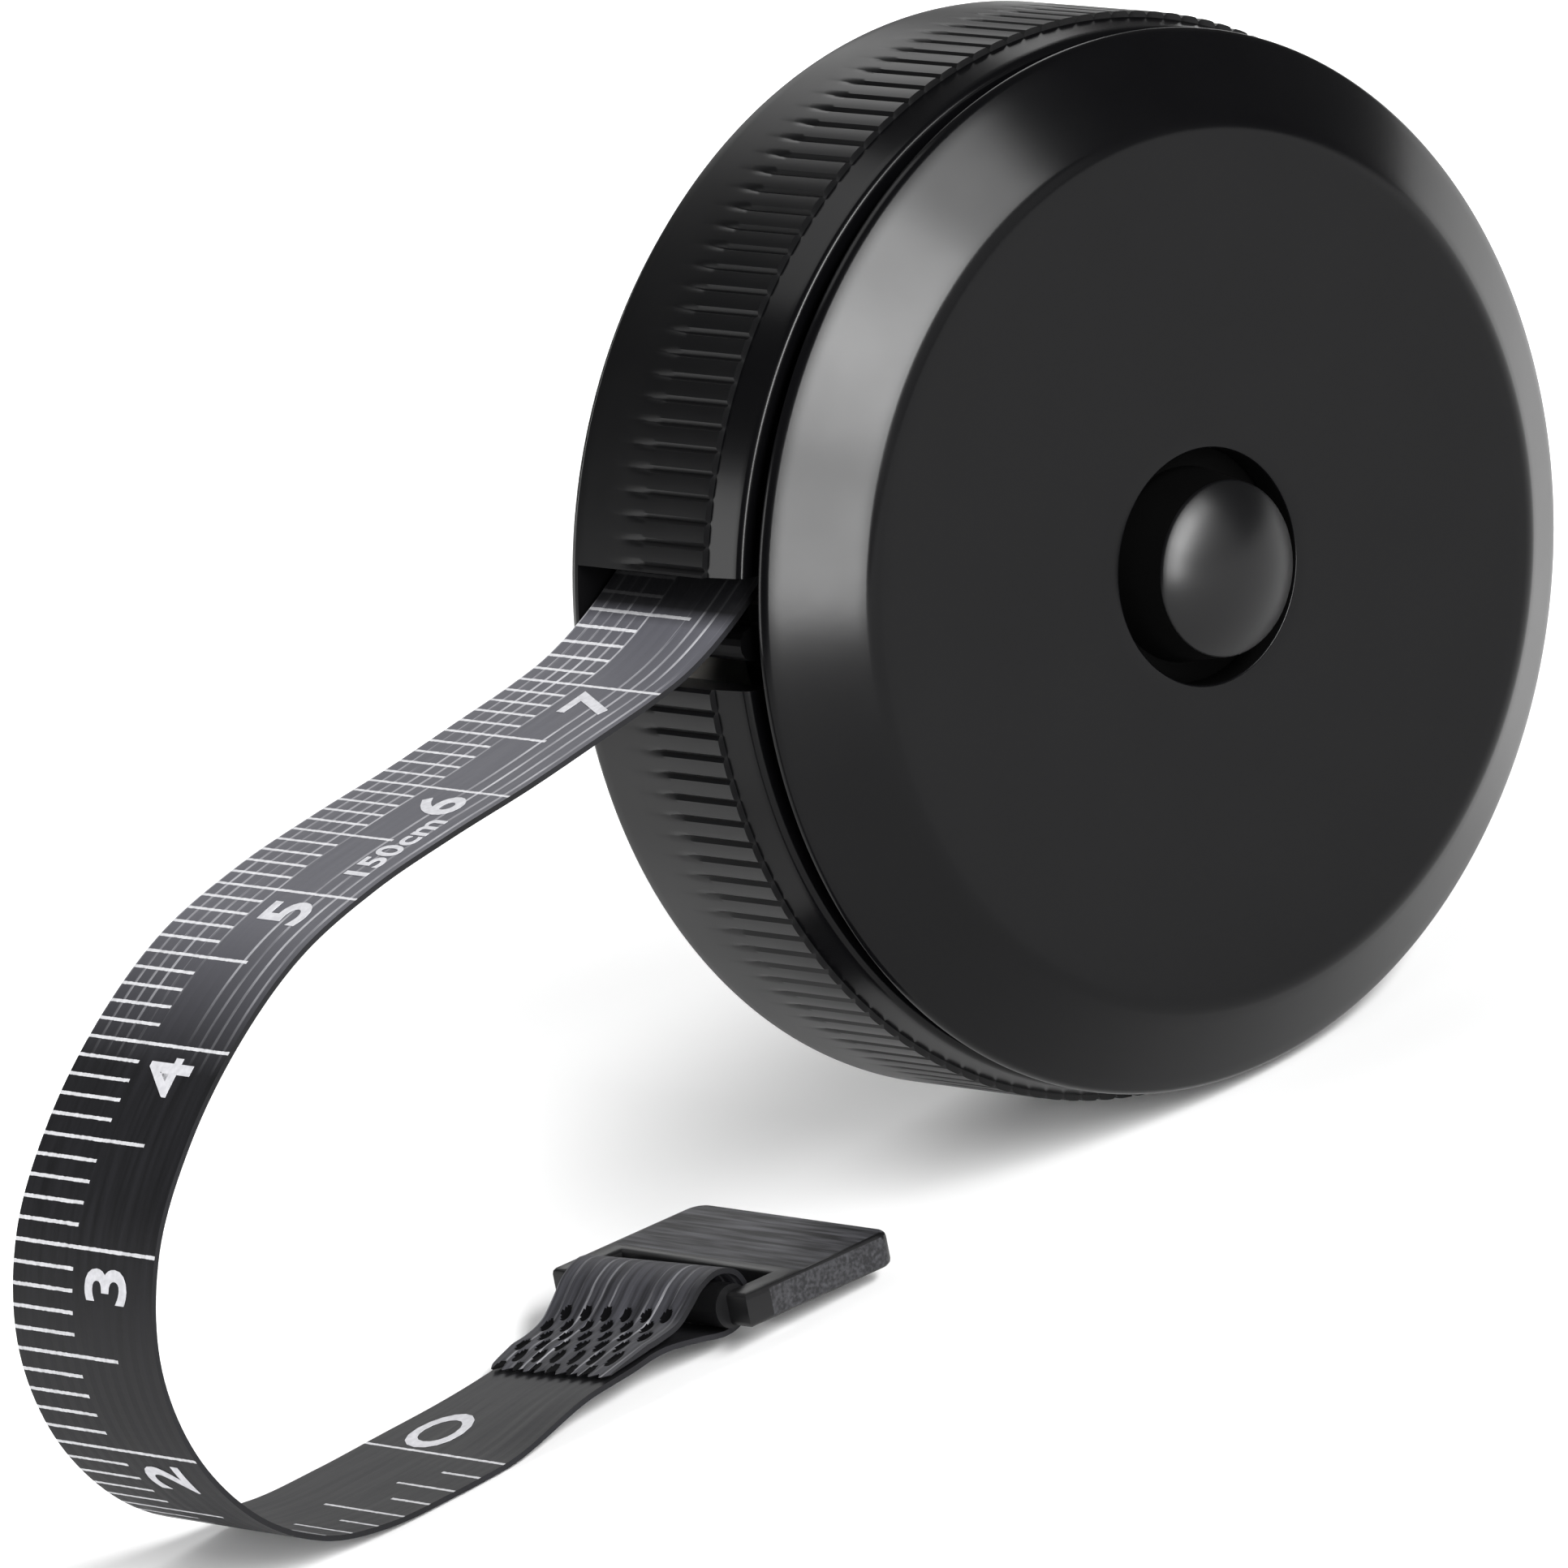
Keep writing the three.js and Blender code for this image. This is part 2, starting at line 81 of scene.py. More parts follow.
def placeCamera(s):
    back = cameraSide(s)
    data = bpy.data.cameras.new("camera")
    data.lens, data.sensor_width = s["lens"], s["sensor"]
    data.clip_start, data.clip_end = s["clip"]
    cam = bpy.data.objects.new("camera", data)
    scene.collection.objects.link(cam)
    turn = Quaternion((0, 0, 1), math.radians(-s["roll"]))
    cam.rotation_mode = "QUATERNION"
    cam.rotation_quaternion = (-back).to_track_quat("-Z", "Y") @ turn
    cam.location = (Vector(s["target"]) + back * s["distance"]) * mm
    scene.camera = cam


placeCamera(cameraSet)
print("camera placed")


# colours are written as sRGB hex
def hexColour(text):
    parts = [int(text[i:i + 2], 16) / 255 for i in (1, 3, 5)]
    linear = [p / 12.92 if p <= 0.04045 else ((p + 0.055) / 1.055) ** 2.4 for p in parts]
    return (*linear, 1.0)


# adds one node: settings by attribute name, inputs by socket name or number,
# where an input is a value or another node's output
def addNode(tree, kind, settings=None, inputs=None):
    node = tree.nodes.new(kind)
    for name, value in (settings or {}).items():
        setattr(node, name, value)
    for name, value in (inputs or {}).items():
        if isinstance(value, bpy.types.NodeSocket):
            tree.links.new(value, node.inputs[name])
        else:
            node.inputs[name].default_value = value
    return node


def startMaterial(name):
    mat = bpy.data.materials.new(name)
    mat.use_nodes = True
    mat.node_tree.nodes.clear()
    return mat, mat.node_tree


def closeMaterial(tree, shader):
    addNode(tree, "ShaderNodeOutputMaterial", None, {"Surface": shader.outputs[0]})


# sizes of the grain in the materials, mm
grainSet = {"flow": 6.0, "peel": 0.5, "drawn": 0.6, "bloom": 1.5, "grit": 0.25, "ink": 0.3}


# plastic, injection moulded: black ABS from a polished tool is deep black with a satin gloss, with faint
# flow marks in the gloss and a very fine orange peel; the acetal inside is natural white,
# and the faces of the weld's dents are darker and matt
def mouldedAbs(name, dark, light, roughLow, roughHigh, level):
    mat, tree = startMaterial(name)
    place = addNode(tree, "ShaderNodeTexCoord").outputs["Object"]
    flow = addNode(tree, "ShaderNodeTexNoise", None, {
        "Vector": place, "Scale": 1 / (grainSet["flow"] * mm), "Detail": 3.0})
    peel = addNode(tree, "ShaderNodeTexNoise", None, {
        "Vector": place, "Scale": 1 / (grainSet["peel"] * mm), "Detail": 2.0})
    colour = addNode(tree, "ShaderNodeMix", {"data_type": "RGBA"}, {
        0: flow.outputs["Fac"], 6: hexColour(dark), 7: hexColour(light)})
    rough = addNode(tree, "ShaderNodeMapRange", None, {
        "Value": flow.outputs["Fac"], "From Min": 0.3, "From Max": 0.7,
        "To Min": roughLow, "To Max": roughHigh})
    bump = addNode(tree, "ShaderNodeBump", None, {
        "Height": peel.outputs["Fac"], "Strength": 0.05, "Distance": 0.02 * mm})
    shader = addNode(tree, "ShaderNodeBsdfPrincipled", None, {
        "Base Color": colour.outputs[2], "Roughness": rough.outputs[0], "Normal": bump.outputs[0],
        "IOR": 1.5, "Specular IOR Level": level})
    closeMaterial(tree, shader)
    return mat


caseBlack = mouldedAbs("case_abs_moulded", "#040405", "#070708", 0.19, 0.23, 0.16)
rimBlack = mouldedAbs("rim_abs_moulded", "#060607", "#09090a", 0.32, 0.38, 0.2)
buttonBlack = mouldedAbs("button_abs_moulded", "#040405", "#070708", 0.31, 0.35, 0.32)
recessBlack = mouldedAbs("recess_abs_etched", "#040404", "#060606", 0.7, 0.8, 0.03)
# the tab's plain black edges, arms and bar: on the arms and bar this is painted shade over the plate's own
# plastic
tabBlackPaintedShade = mouldedAbs("tab_plastic_black_painted_shade", "#0c0c0d", "#121213", 0.3, 0.4, 0.25)
innerNatural = mouldedAbs("inner_acetal_moulded", "#cfcdc6", "#dcdad3", 0.4, 0.5, 0.3)
weldBlack = mouldedAbs("weld_dents_dark", "#050506", "#0a0a0b", 0.6, 0.75, 0.03)


# the tab's plate, moulded in a scored tool: dark grey, streaked or grained in light grey, matt
def scoredPlastic(name, dark, light, size):
    mat, tree = startMaterial(name)
    place = addNode(tree, "ShaderNodeTexCoord").outputs["Object"]
    scale = tuple(1 / (length * mm) for length in size)
    stretch = addNode(tree, "ShaderNodeMapping", None, {"Vector": place, "Scale": scale})
    score = addNode(tree, "ShaderNodeTexNoise", None, {
        "Vector": stretch.outputs[0], "Scale": 1.0, "Detail": 4.0})
    share = addNode(tree, "ShaderNodeMapRange", None, {
        "Value": score.outputs["Fac"], "From Min": 0.4, "From Max": 0.68})
    colour = addNode(tree, "ShaderNodeMix", {"data_type": "RGBA"}, {
        0: share.outputs[0], 6: hexColour(dark), 7: hexColour(light)})
    bump = addNode(tree, "ShaderNodeBump", None, {
        "Height": score.outputs["Fac"], "Strength": 0.4, "Distance": 0.06 * mm})
    shader = addNode(tree, "ShaderNodeBsdfPrincipled", None, {
        "Base Color": colour.outputs[2], "Roughness": 0.55, "Normal": bump.outputs[0],
        "Specular IOR Level": 0.3})
    closeMaterial(tree, shader)
    return mat


tabTop = scoredPlastic("tab_plastic_streaked", "#111113", "#4a4a4e", (0.3, 5.0, 0.3))
tabSide = scoredPlastic("tab_plastic_grained", "#18181a", "#363639", (0.2, 0.2, 0.2))


# spring steel, drawn and polished: neutral grey with fine drawing lines
def drawnSteel(name, colour, roughLow, roughHigh):
    mat, tree = startMaterial(name)
    place = addNode(tree, "ShaderNodeTexCoord").outputs["Object"]
    lines = addNode(tree, "ShaderNodeMapping", None, {"Vector": place, "Scale": (4.0, 0.3, 4.0)})
    grain = addNode(tree, "ShaderNodeTexNoise", None, {
        "Vector": lines.outputs[0], "Scale": 1 / (grainSet["drawn"] * mm), "Detail": 2.0})
    rough = addNode(tree, "ShaderNodeMapRange", None, {
        "Value": grain.outputs["Fac"], "To Min": roughLow, "To Max": roughHigh})
    shader = addNode(tree, "ShaderNodeBsdfPrincipled", None, {
        "Base Color": hexColour(colour), "Metallic": 1.0, "Roughness": rough.outputs[0]})
    closeMaterial(tree, shader)
    return mat


springSteel = drawnSteel("spring_steel_drawn", "#a9abae", 0.22, 0.42)
pinSteel = drawnSteel("pin_steel_blackened", "#101011", 0.5, 0.65)


# rubber for the brake ring: matt black with a dusty bloom
def mouldedRubber(name):
    mat, tree = startMaterial(name)
    place = addNode(tree, "ShaderNodeTexCoord").outputs["Object"]
    bloom = addNode(tree, "ShaderNodeTexNoise", None, {
        "Vector": place, "Scale": 1 / (grainSet["bloom"] * mm), "Detail": 4.0})
    colour = addNode(tree, "ShaderNodeMix", {"data_type": "RGBA"}, {
        0: bloom.outputs["Fac"], 6: hexColour("#1a1a1a"), 7: hexColour("#2a2a2a")})
    shader = addNode(tree, "ShaderNodeBsdfPrincipled", None, {
        "Base Color": colour.outputs[2], "Roughness": 0.85})
    closeMaterial(tree, shader)
    return mat


brakeRubber = mouldedRubber("brake_rubber_moulded")


# the tape's middle line, X and Z in mm, as the solids have it:
# winding, mouth, loop, ground, round the tab's bar and back
tapeSet = {
    "route": [
        (-8.2, 40.8), (-13.5, 37.9), (-19.0, 34.95), (-22.3, 33.15), (-24.2, 32.15), (-26.2, 31.3),
        (-28.0, 30.75), (-30.0, 30.4), (-33.5, 30.0), (-38.1, 29.5), (-43.4, 29.1), (-48.3, 28.55),
        (-53.3, 27.35), (-57.9, 25.0), (-62.1, 21.7), (-65.4, 17.6), (-66.9, 12.7), (-66.2, 7.9),
        (-63.6, 3.75), (-60.2, 1.35), (-56.6, 0.45), (-52.5, 0.25), (-48.5, 0.25), (-44.5, 0.27),
        (-41.0, 0.46), (-38.5, 0.76), (-36.4, 0.8), (-34.6, 0.7), (-33.57, 1.12), (-33.15, 2.15),
        (-33.57, 3.18), (-34.6, 3.6), (-35.7, 3.25), (-36.6, 2.5), (-37.6, 1.72), (-38.7, 1.32),
        (-39.9, 1.1), (-41.5, 0.88)],
    "perSpan": 24,          # steps between two points of the route
    "barPoint": 27,         # place in the route under the tab's bar, where the fold begins
    "mouthSpan": (0, 8),    # places in the route between which a point is looked for by its X
    "freeSpan": (0, 10),
    "groundSpan": (18, 27),
    "foldSpan": (31, 37),
    "frontY": -3.75,
    "backY": 6.15,
    "thickness": 0.26,
    "zeroX": -49.3,         # zero line, on the ground
    # X and lean of the tail, degrees
    "twist": [(-49.5, 0.0), (-43.0, 6.0), (-39.0, 5.5), (-34.0, 2.0)],
    "leanX": -35.5,         # from here, over this length, the lean passes from the middle to the back edge
    "leanOver": 4.0,
    "drawnFrom": -24.5,     # X between which the tape pays out of the mouth, and its height there
    "drawnTo": -28.0,
    "drawnZ": 31.0,
    "rows": 24,
    "step": 0.5,
    "fineStep": 0.14,
    "fineMargin": (0.5, 0.3),
    "sharp": 60,
    "cordSteps": 160,
}
tapeWidth = tapeSet["backY"] - tapeSet["frontY"]
tapeMiddle = (tapeSet["backY"] + tapeSet["frontY"]) / 2


def smoothRoute(points, perSpan):
    pts = [Vector(p) for p in points]
    pts = [2 * pts[0] - pts[1]] + pts + [2 * pts[-1] - pts[-2]]
    line = []
    for a, b, c, d in zip(pts, pts[1:], pts[2:], pts[3:]):
        ab, bc, cd = (math.sqrt((q - p).length) for p, q in ((a, b), (b, c), (c, d)))
        leave = ((b - a) / ab - (c - a) / (ab + bc) + (c - b) / bc) * bc
        reach = ((c - b) / bc - (d - b) / (bc + cd) + (d - c) / cd) * bc
        for i in range(perSpan):
            t = i / perSpan
            line.append(b + leave * t + (3 * (c - b) - 2 * leave - reach) * t * t
                        + (2 * (b - c) + leave + reach) * t ** 3)
    return line + [pts[-2]]


tapeLine = smoothRoute(tapeSet["route"], tapeSet["perSpan"])
tapeRun = [0.0]
for a, b in zip(tapeLine, tapeLine[1:]):
    tapeRun.append(tapeRun[-1] + (b - a).length)


# lean of the tail at a run, front edge up, in radians
def leanAt(run, x):
    table = tapeSet["twist"]
    if run < tapeRun[len(tapeRun) // 2] or x <= table[0][0]:
        return 0.0
    for (x0, a0), (x1, a1) in zip(table, table[1:]):
        if x <= x1:
            t = (x - x0) / (x1 - x0)
            return math.radians(a0 + (a1 - a0) * t * t * (3 - 2 * t))
    return math.radians(table[-1][1])


# point of the tape in metres: run along it and lift off its middle in mm, across from the back edge 0 to 1
def onTape(run, across, lift=0.0):
    low, high = 0, len(tapeRun) - 1
    while high - low > 1:
        mid = (low + high) // 2
        low, high = (mid, high) if tapeRun[mid] <= run else (low, mid)
    share = (run - tapeRun[low]) / (tapeRun[high] - tapeRun[low])
    before = tapeLine[max(low - 1, 0)]
    after = tapeLine[min(high + 1, len(tapeLine) - 1)]
    near, wide = (tapeLine[high] - tapeLine[low]).normalized(), (after - before).normalized()
    along = near.lerp(wide, 0.5).normalized()
    spot = tapeLine[low].lerp(tapeLine[high], share)
    lean = leanAt(run, spot.x)
    aside = tapeWidth * (across - 0.5)
    y = tapeMiddle - aside * math.cos(lean)
    onEdge = max(0.0, min(1.0, (tapeSet["leanX"] - spot.x) / tapeSet["leanOver"]))
    rise = (aside + tapeWidth / 2 * onEdge) * math.sin(lean)
    return Vector((spot.x + along.y * lift, y, spot.y - along.x * lift + rise)) * mm


# run at an X, looked for between two places in the route
def runAtX(x, span):
    first, last = (place * tapeSet["perSpan"] for place in span)
    for i in range(first, last):
        if (tapeLine[i].x - x) * (tapeLine[i + 1].x - x) <= 0:
            share = (x - tapeLine[i].x) / (tapeLine[i + 1].x - tapeLine[i].x)
            return tapeRun[i] + share * (tapeRun[i + 1] - tapeRun[i])


zeroRun = runAtX(tapeSet["zeroX"], tapeSet["groundSpan"])
mouthRun = runAtX(tapeSet["drawnFrom"], tapeSet["mouthSpan"])
freeRun = runAtX(tapeSet["drawnTo"], tapeSet["freeSpan"])
barRun = tapeRun[tapeSet["barPoint"] * tapeSet["perSpan"]]
endRun = tapeRun[-1]
print("tape line: zero at %.2f, free from %.2f, bar at %.2f, end at %.2f mm" % (
    zeroRun, freeRun, barRun, endRun))


# coated glass-fibre cloth: a black flexible coat over a weave whose lengthwise threads show as fine rubbed
# lines, printed in white; one side carries centimetres from the back edge,
# the other inches from the front edge
printSet = {
    "tape": ("#101012", "#19191c"),
    "scuffedAndSheen": "#525258",       # coat lighter from 3 cm on: partly dulled by handling, partly painted sheen where the tape's bend catches the light
    "rubbed": "#bababe",        # coat worn through along a thread
    "paintedShadeX": (-24.0, -25.1),    # X over which painted shade darkens the tape towards the inside of the mouth, standing in for the mouth's shadow
    "paintedShade": "#060607",
    "ink": "#d2d2d5",
    "lineHalf": 0.085,          # half of a printed line, mm, and how much the grit frays it
    "lineFray": 0.07,
    "firstMark": -0.3,          # mm on the scale where the lines begin
    "inkWear": (0.5, 0.55),     # gain and offset: ink by grit, rubbed threads and uneven coat by scuffs
    "rub": (3.0, -1.05),
    "uneven": (3.0, -1.0),
    "threadPitch": 0.86,        # lengthwise threads, mm apart
    "threadHalf": 0.09,
    "bare": (0.53, 0.09),       # middle and half of the stretch across with no rubbed threads
    "streak": (6.0, 0.4),       # length and width of a scuff, mm
    "weavePitch": 0.46,
    "weftRelief": 0.25,
    "gritRelief": 0.12,
    "paintedShadeMost": 0.96,            # share of the painted shade of the mouth that the tape reaches
    "level": {"cm": 0.17, "inch": 0.34, "fold": 0.14, "edge": 0.2},
    "cm": {"unit": (1.0, 5.0, 10.0), "length": (0.43, 0.72, 1.0)},
    "inch": {"unit": (25.4 / 16, 25.4 / 8, 25.4 / 4, 25.4 / 2, 25.4),
             "length": (0.27, 0.41, 0.57, 0.57, 1.0)},
    # where the lighter coat comes in along each side; on the centimetre side it is partly painted sheen round
    # the bend
    "wear": {"cm": ("MULTIPLY_ADD", "mark", 1 / 9, -4.3),
             "inch": ("MULTIPLY_ADD", "mark", 1 / 30, -1.0),
             "fold": ("MULTIPLY_ADD", "streak", 1.3, -0.3),
             "edge": ("MULTIPLY", "mark", 0.0)},
    "paidX": tapeSet["drawnTo"],
    "paidMark": zeroRun - freeRun,
}


def coatedCloth(name, side):
    s = printSet
    mat, tree = startMaterial(name)
    coord = addNode(tree, "ShaderNodeTexCoord")
    place = addNode(tree, "ShaderNodeSeparateXYZ", None, {0: coord.outputs["Object"]})
    uv = addNode(tree, "ShaderNodeSeparateXYZ", None, {0: coord.outputs["UV"]})
    paid = addNode(tree, "ShaderNodeAttribute", {"attribute_name": "paidOut"})
    grit = addNode(tree, "ShaderNodeTexNoise", None, {
        "Vector": coord.outputs["Object"], "Scale": 1 / (grainSet["grit"] * mm), "Detail": 2.0})
    long, wide = s["streak"]
    along = addNode(tree, "ShaderNodeMapping", None, {
        "Vector": coord.outputs["UV"], "Scale": (1 / (long * mm), tapeWidth / wide, 1)})
    streak = addNode(tree, "ShaderNodeTexNoise", None, {
        "Vector": along.outputs[0], "Scale": 1.0, "Detail": 3.0})
    value = {"x": place.outputs[0], "run": uv.outputs[0], "across": uv.outputs[1],
             "paid": paid.outputs["Fac"], "grit": grit.outputs["Fac"], "streak": streak.outputs["Fac"]}
    deep, fade = s["paintedShadeX"][1], s["paintedShadeX"][1] - s["paintedShadeX"][0]
    # where the tape pays out of the mouth the marks follow the place, elsewhere the run along the tape
    sums = [
        ("fromMouth", "MULTIPLY_ADD", "x", 1 / mm, s["paidMark"] - s["paidX"]),
        ("isPaid", "GREATER_THAN", "paid", 0.5),
        ("onRun", "MULTIPLY", "run", 1 / mm),
        ("step", "SUBTRACT", "fromMouth", "onRun"),
        ("mark", "MULTIPLY_ADD", "step", "isPaid", "onRun"),
        ("half", "MULTIPLY_ADD", "grit", s["lineFray"], s["lineHalf"] - s["lineFray"] / 2),
        ("edge", "SUBTRACT", 1.0, "across") if side == "inch" else ("edge", "ADD", 0.0, "across"),
        ("ink", "MULTIPLY", 0.0, "edge")]
    for unit, length in zip(*s[side].values()) if side in s else ():
        sums += [
            ("off", "PINGPONG", "mark", unit / 2),
            ("line", "LESS_THAN", "off", "half"),
            ("short", "LESS_THAN", "edge", length),
            ("tick", "MULTIPLY", "line", "short"),
            ("ink", "MAXIMUM", "ink", "tick")]
    # lengthwise threads with a rubbed crest, broken up by the grit, and the weave between them
    sums += [
        ("begun", "GREATER_THAN", "mark", s["firstMark"]),
        ("ink", "MULTIPLY", "ink", "begun"),
        ("wear", "MULTIPLY_ADD", "grit", *s["inkWear"]),
        ("ink", "MULTIPLY", "ink", "wear"),
        ("aside", "MULTIPLY", "across", tapeWidth),
        ("thread", "PINGPONG", "aside", s["threadPitch"] / 2),
        ("crest", "LESS_THAN", "thread", s["threadHalf"]),
        # lighter coat by mark: real handling wear and, round the bend, painted sheen
        ("scuffAndSheen", *s["wear"][side]),
        ("scuffAndSheen", "MINIMUM", "scuffAndSheen", 1.0),
        ("scuffAndSheen", "MAXIMUM", "scuffAndSheen", 0.0),
        ("rub", "MULTIPLY_ADD", "streak", *s["rub"]),
        ("rub", "MULTIPLY", "rub", "wear"),
        ("rub", "MULTIPLY", "rub", "crest"),
        ("rub", "MULTIPLY", "rub", "scuffAndSheen"),
        ("bare", "COMPARE", "across", *s["bare"]),
        ("bare", "SUBTRACT", 1.0, "bare"),
        ("rub", "MULTIPLY", "rub", "bare"),
        ("weft", "PINGPONG", "mark", s["weavePitch"] / 2),
        ("relief", "MULTIPLY_ADD", "weft", s["weftRelief"], "thread"),
        ("relief", "MULTIPLY_ADD", "grit", s["gritRelief"], "relief"),
        ("uneven", "MULTIPLY_ADD", "streak", *s["uneven"]),
        # painted shade: towards the inside of the mouth the colour is darkened by X, standing in for the
        # mouth's shadow
        ("dark", "MULTIPLY_ADD", "x", -1 / mm / fade, deep / fade),
        ("dark", "MINIMUM", "dark", s["paintedShadeMost"]),
        ("dark", "MAXIMUM", "dark", 0.0)]
    for key, operation, *terms in sums:
        inputs = {i: value[t] if isinstance(t, str) else t for i, t in enumerate(terms)}
        value[key] = addNode(tree, "ShaderNodeMath", {"operation": operation}, inputs).outputs[0]
    coat = addNode(tree, "ShaderNodeMix", {"data_type": "RGBA"}, {
        0: value["uneven"], 6: hexColour(s["tape"][0]), 7: hexColour(s["tape"][1])})
    scuffedAndSheen = addNode(tree, "ShaderNodeMix", {"data_type": "RGBA"}, {
        0: value["scuffAndSheen"], 6: coat.outputs[2], 7: hexColour(s["scuffedAndSheen"])})
    rubbed = addNode(tree, "ShaderNodeMix", {"data_type": "RGBA"}, {
        0: value["rub"], 6: scuffedAndSheen.outputs[2], 7: hexColour(s["rubbed"])})
    printed = addNode(tree, "ShaderNodeMix", {"data_type": "RGBA"}, {
        0: value["ink"], 6: rubbed.outputs[2], 7: hexColour(s["ink"])})
    # the painted shade of the mouth laid over the printed coat
    paintedShade = addNode(tree, "ShaderNodeMix", {"data_type": "RGBA"}, {
        0: value["dark"], 6: printed.outputs[2], 7: hexColour(s["paintedShade"])})
    bump = addNode(tree, "ShaderNodeBump", None, {
        "Height": value["relief"], "Strength": 0.3, "Distance": 0.08 * mm})
    rough = addNode(tree, "ShaderNodeMapRange", None, {
        "Value": value["streak"], "To Min": 0.42, "To Max": 0.62})
    shader = addNode(tree, "ShaderNodeBsdfPrincipled", None, {
        "Base Color": paintedShade.outputs[2], "Roughness": rough.outputs[0], "Normal": bump.outputs[0],
        "IOR": 1.5, "Specular IOR Level": s["level"][side]})
    closeMaterial(tree, shader)
    return mat


tapeCm = coatedCloth("tape_cloth_centimetres", "cm")
tapeInch = coatedCloth("tape_cloth_inches", "inch")
tapeFold = coatedCloth("tape_cloth_folded", "fold")
tapeEdge = coatedCloth("tape_cloth_cut", "edge")


# white screen ink: matt, a little uneven where the weave shows through
def screenInk(name):
    mat, tree = startMaterial(name)
    place = addNode(tree, "ShaderNodeTexCoord").outputs["Object"]
    grit = addNode(tree, "ShaderNodeTexNoise", None, {
        "Vector": place, "Scale": 1 / (grainSet["ink"] * mm), "Detail": 3.0})
    colour = addNode(tree, "ShaderNodeMix", {"data_type": "RGBA"}, {
        0: grit.outputs["Fac"], 6: hexColour("#a2a2a6"), 7: hexColour("#d4d4d8")})
    shader = addNode(tree, "ShaderNodeBsdfPrincipled", None, {
        "Base Color": colour.outputs[2], "Roughness": 0.6, "Specular IOR Level": 0.3})
    closeMaterial(tree, shader)
    return mat


printInk = screenInk("print_ink_screened")
print("materials made")


# turns a bmesh into a piece with its materials, smooth but for edges sharper than the angle
sharpAngle = 35


def makePiece(bm, name, materials, angle=sharpAngle, recalc=True):
    if recalc:
        bmesh.ops.remove_doubles(bm, verts=bm.verts[:], dist=1e-7)
        bmesh.ops.recalc_face_normals(bm, faces=bm.faces[:])
    mesh = bpy.data.meshes.new(name)
    bm.to_mesh(mesh)
    bm.free()
    for mat in materials:
        mesh.materials.append(mat)
    mesh.shade_smooth()
    mesh.set_sharp_from_angle(angle=math.radians(angle))
    obj = bpy.data.objects.new(name, mesh)
    scene.collection.objects.link(obj)
    return obj


def applyModifiers(obj):
    shown = obj.evaluated_get(bpy.context.evaluated_depsgraph_get())
    mesh = bpy.data.meshes.new_from_object(shown)
    obj.modifiers.clear()
    obj.data = mesh


# a closed profile of (radius, y) points in mm, some with a rounded corner, spun about the case axis
caseAxis = 25.6


def lathe(profile, steps):
    bm = bmesh.new()
    points = [bm.verts.new((p[0] * mm, p[1] * mm, caseAxis * mm)) for p in profile]
    for a, b in zip(points, points[1:]):
        bm.edges.new((a, b))
    if profile[0][0] > 0:
        bm.edges.new((points[-1], points[0]))
    for p, corner in zip(points, profile):
        if len(corner) > 2:
            bmesh.ops.bevel(bm, geom=[p], offset=corner[2] * mm, offset_type="OFFSET", segments=5,
                            profile=0.5, affect="VERTICES", material=-1)
    bmesh.ops.spin(bm, geom=bm.verts[:] + bm.edges[:], axis=(0, 1, 0), cent=(0, 0, caseAxis * mm),
                   angle=2 * math.pi, steps=steps, use_merge=True)
    return bm


# a box in the case's left side, in mm: reach in X, height and Y range, turned about the case axis
def slotBox(name, inner, outer, height, front, back, angle):
    bm = bmesh.new()
    bmesh.ops.create_cube(bm, size=1)
    bmesh.ops.scale(bm, verts=bm.verts[:], vec=Vector((outer - inner, back - front, height)) * mm)
    middle = Vector((-(outer + inner) / 2, (front + back) / 2, 0)) * mm
    bmesh.ops.translate(bm, verts=bm.verts[:], vec=middle)
    turn = Matrix.Rotation(math.radians(angle), 3, "Y")
    bmesh.ops.rotate(bm, verts=bm.verts[:], cent=(0, 0, 0), matrix=turn)
    bmesh.ops.translate(bm, verts=bm.verts[:], vec=(0, 0, caseAxis * mm))
    return makePiece(bm, name, [])


def cutAway(obj, cutter):
    cut = obj.modifiers.new("cut", "BOOLEAN")
    cut.operation, cut.solver, cut.object = "DIFFERENCE", "EXACT", cutter
    applyModifiers(obj)
    mesh = obj.data
    mesh.shade_smooth()
    mesh.set_sharp_from_angle(angle=math.radians(sharpAngle))


# gives the faces between two radii the second material, where they are upright or lie behind the cover's face
etchSet = {"upright": 0.3, "behind": -8.0}


def etchFaces(obj, inner, outer):
    for face in obj.data.polygons:
        radius = math.hypot(face.center.x, face.center.z - caseAxis * mm) / mm
        upright = abs(face.normal.y) < etchSet["upright"]
        if inner < radius < outer and (upright or face.center.y > etchSet["behind"] * mm):
            face.material_index = 1


mouthSet = {"inner": 18.0, "outer": 26.4, "height": 5.25, "front": -5.0, "back": 6.75, "angle": 13.4}
mouthBox = slotBox("mouth_cutter", **mouthSet)
reliefSet = {"inner": 18.0, "outer": 24.0, "height": 13.0, "front": -4.25, "back": 7.55, "angle": 21.0}
reliefBox = slotBox("relief_cutter", **reliefSet)

# front cover: flat face, wide bevel, thin straight edge, neck and spigot
frontSet = {
    "profile": [
        (5.55, -8.55, 0.12), (6.4, -8.55), (12.0, -8.55), (19.6, -8.55), (20.7, -8.55, 0.45),
        (21.6, -7.922), (24.2, -6.108), (25.0, -5.55, 0.3), (25.0, -5.25, 0.05), (24.1, -5.25),
        (24.1, -4.25), (23.1, -4.25), (23.1, -1.75), (21.9, -1.75), (21.9, -4.85), (19.7, -7.15),
        (5.55, -7.15)],
    "steps": 240,
    "slope": 35,            # lean of the bevel, degrees
    "etched": (5.0, 5.62),  # radii of the hole's wall
}
frontCover = makePiece(lathe(frontSet["profile"], frontSet["steps"]), "front_cover_shell",
                       [caseBlack, recessBlack])
cutAway(frontCover, mouthBox)
cutAway(frontCover, reliefBox)
etchFaces(frontCover, *frontSet["etched"])
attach(frontCover, "case")
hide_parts("front_cover")

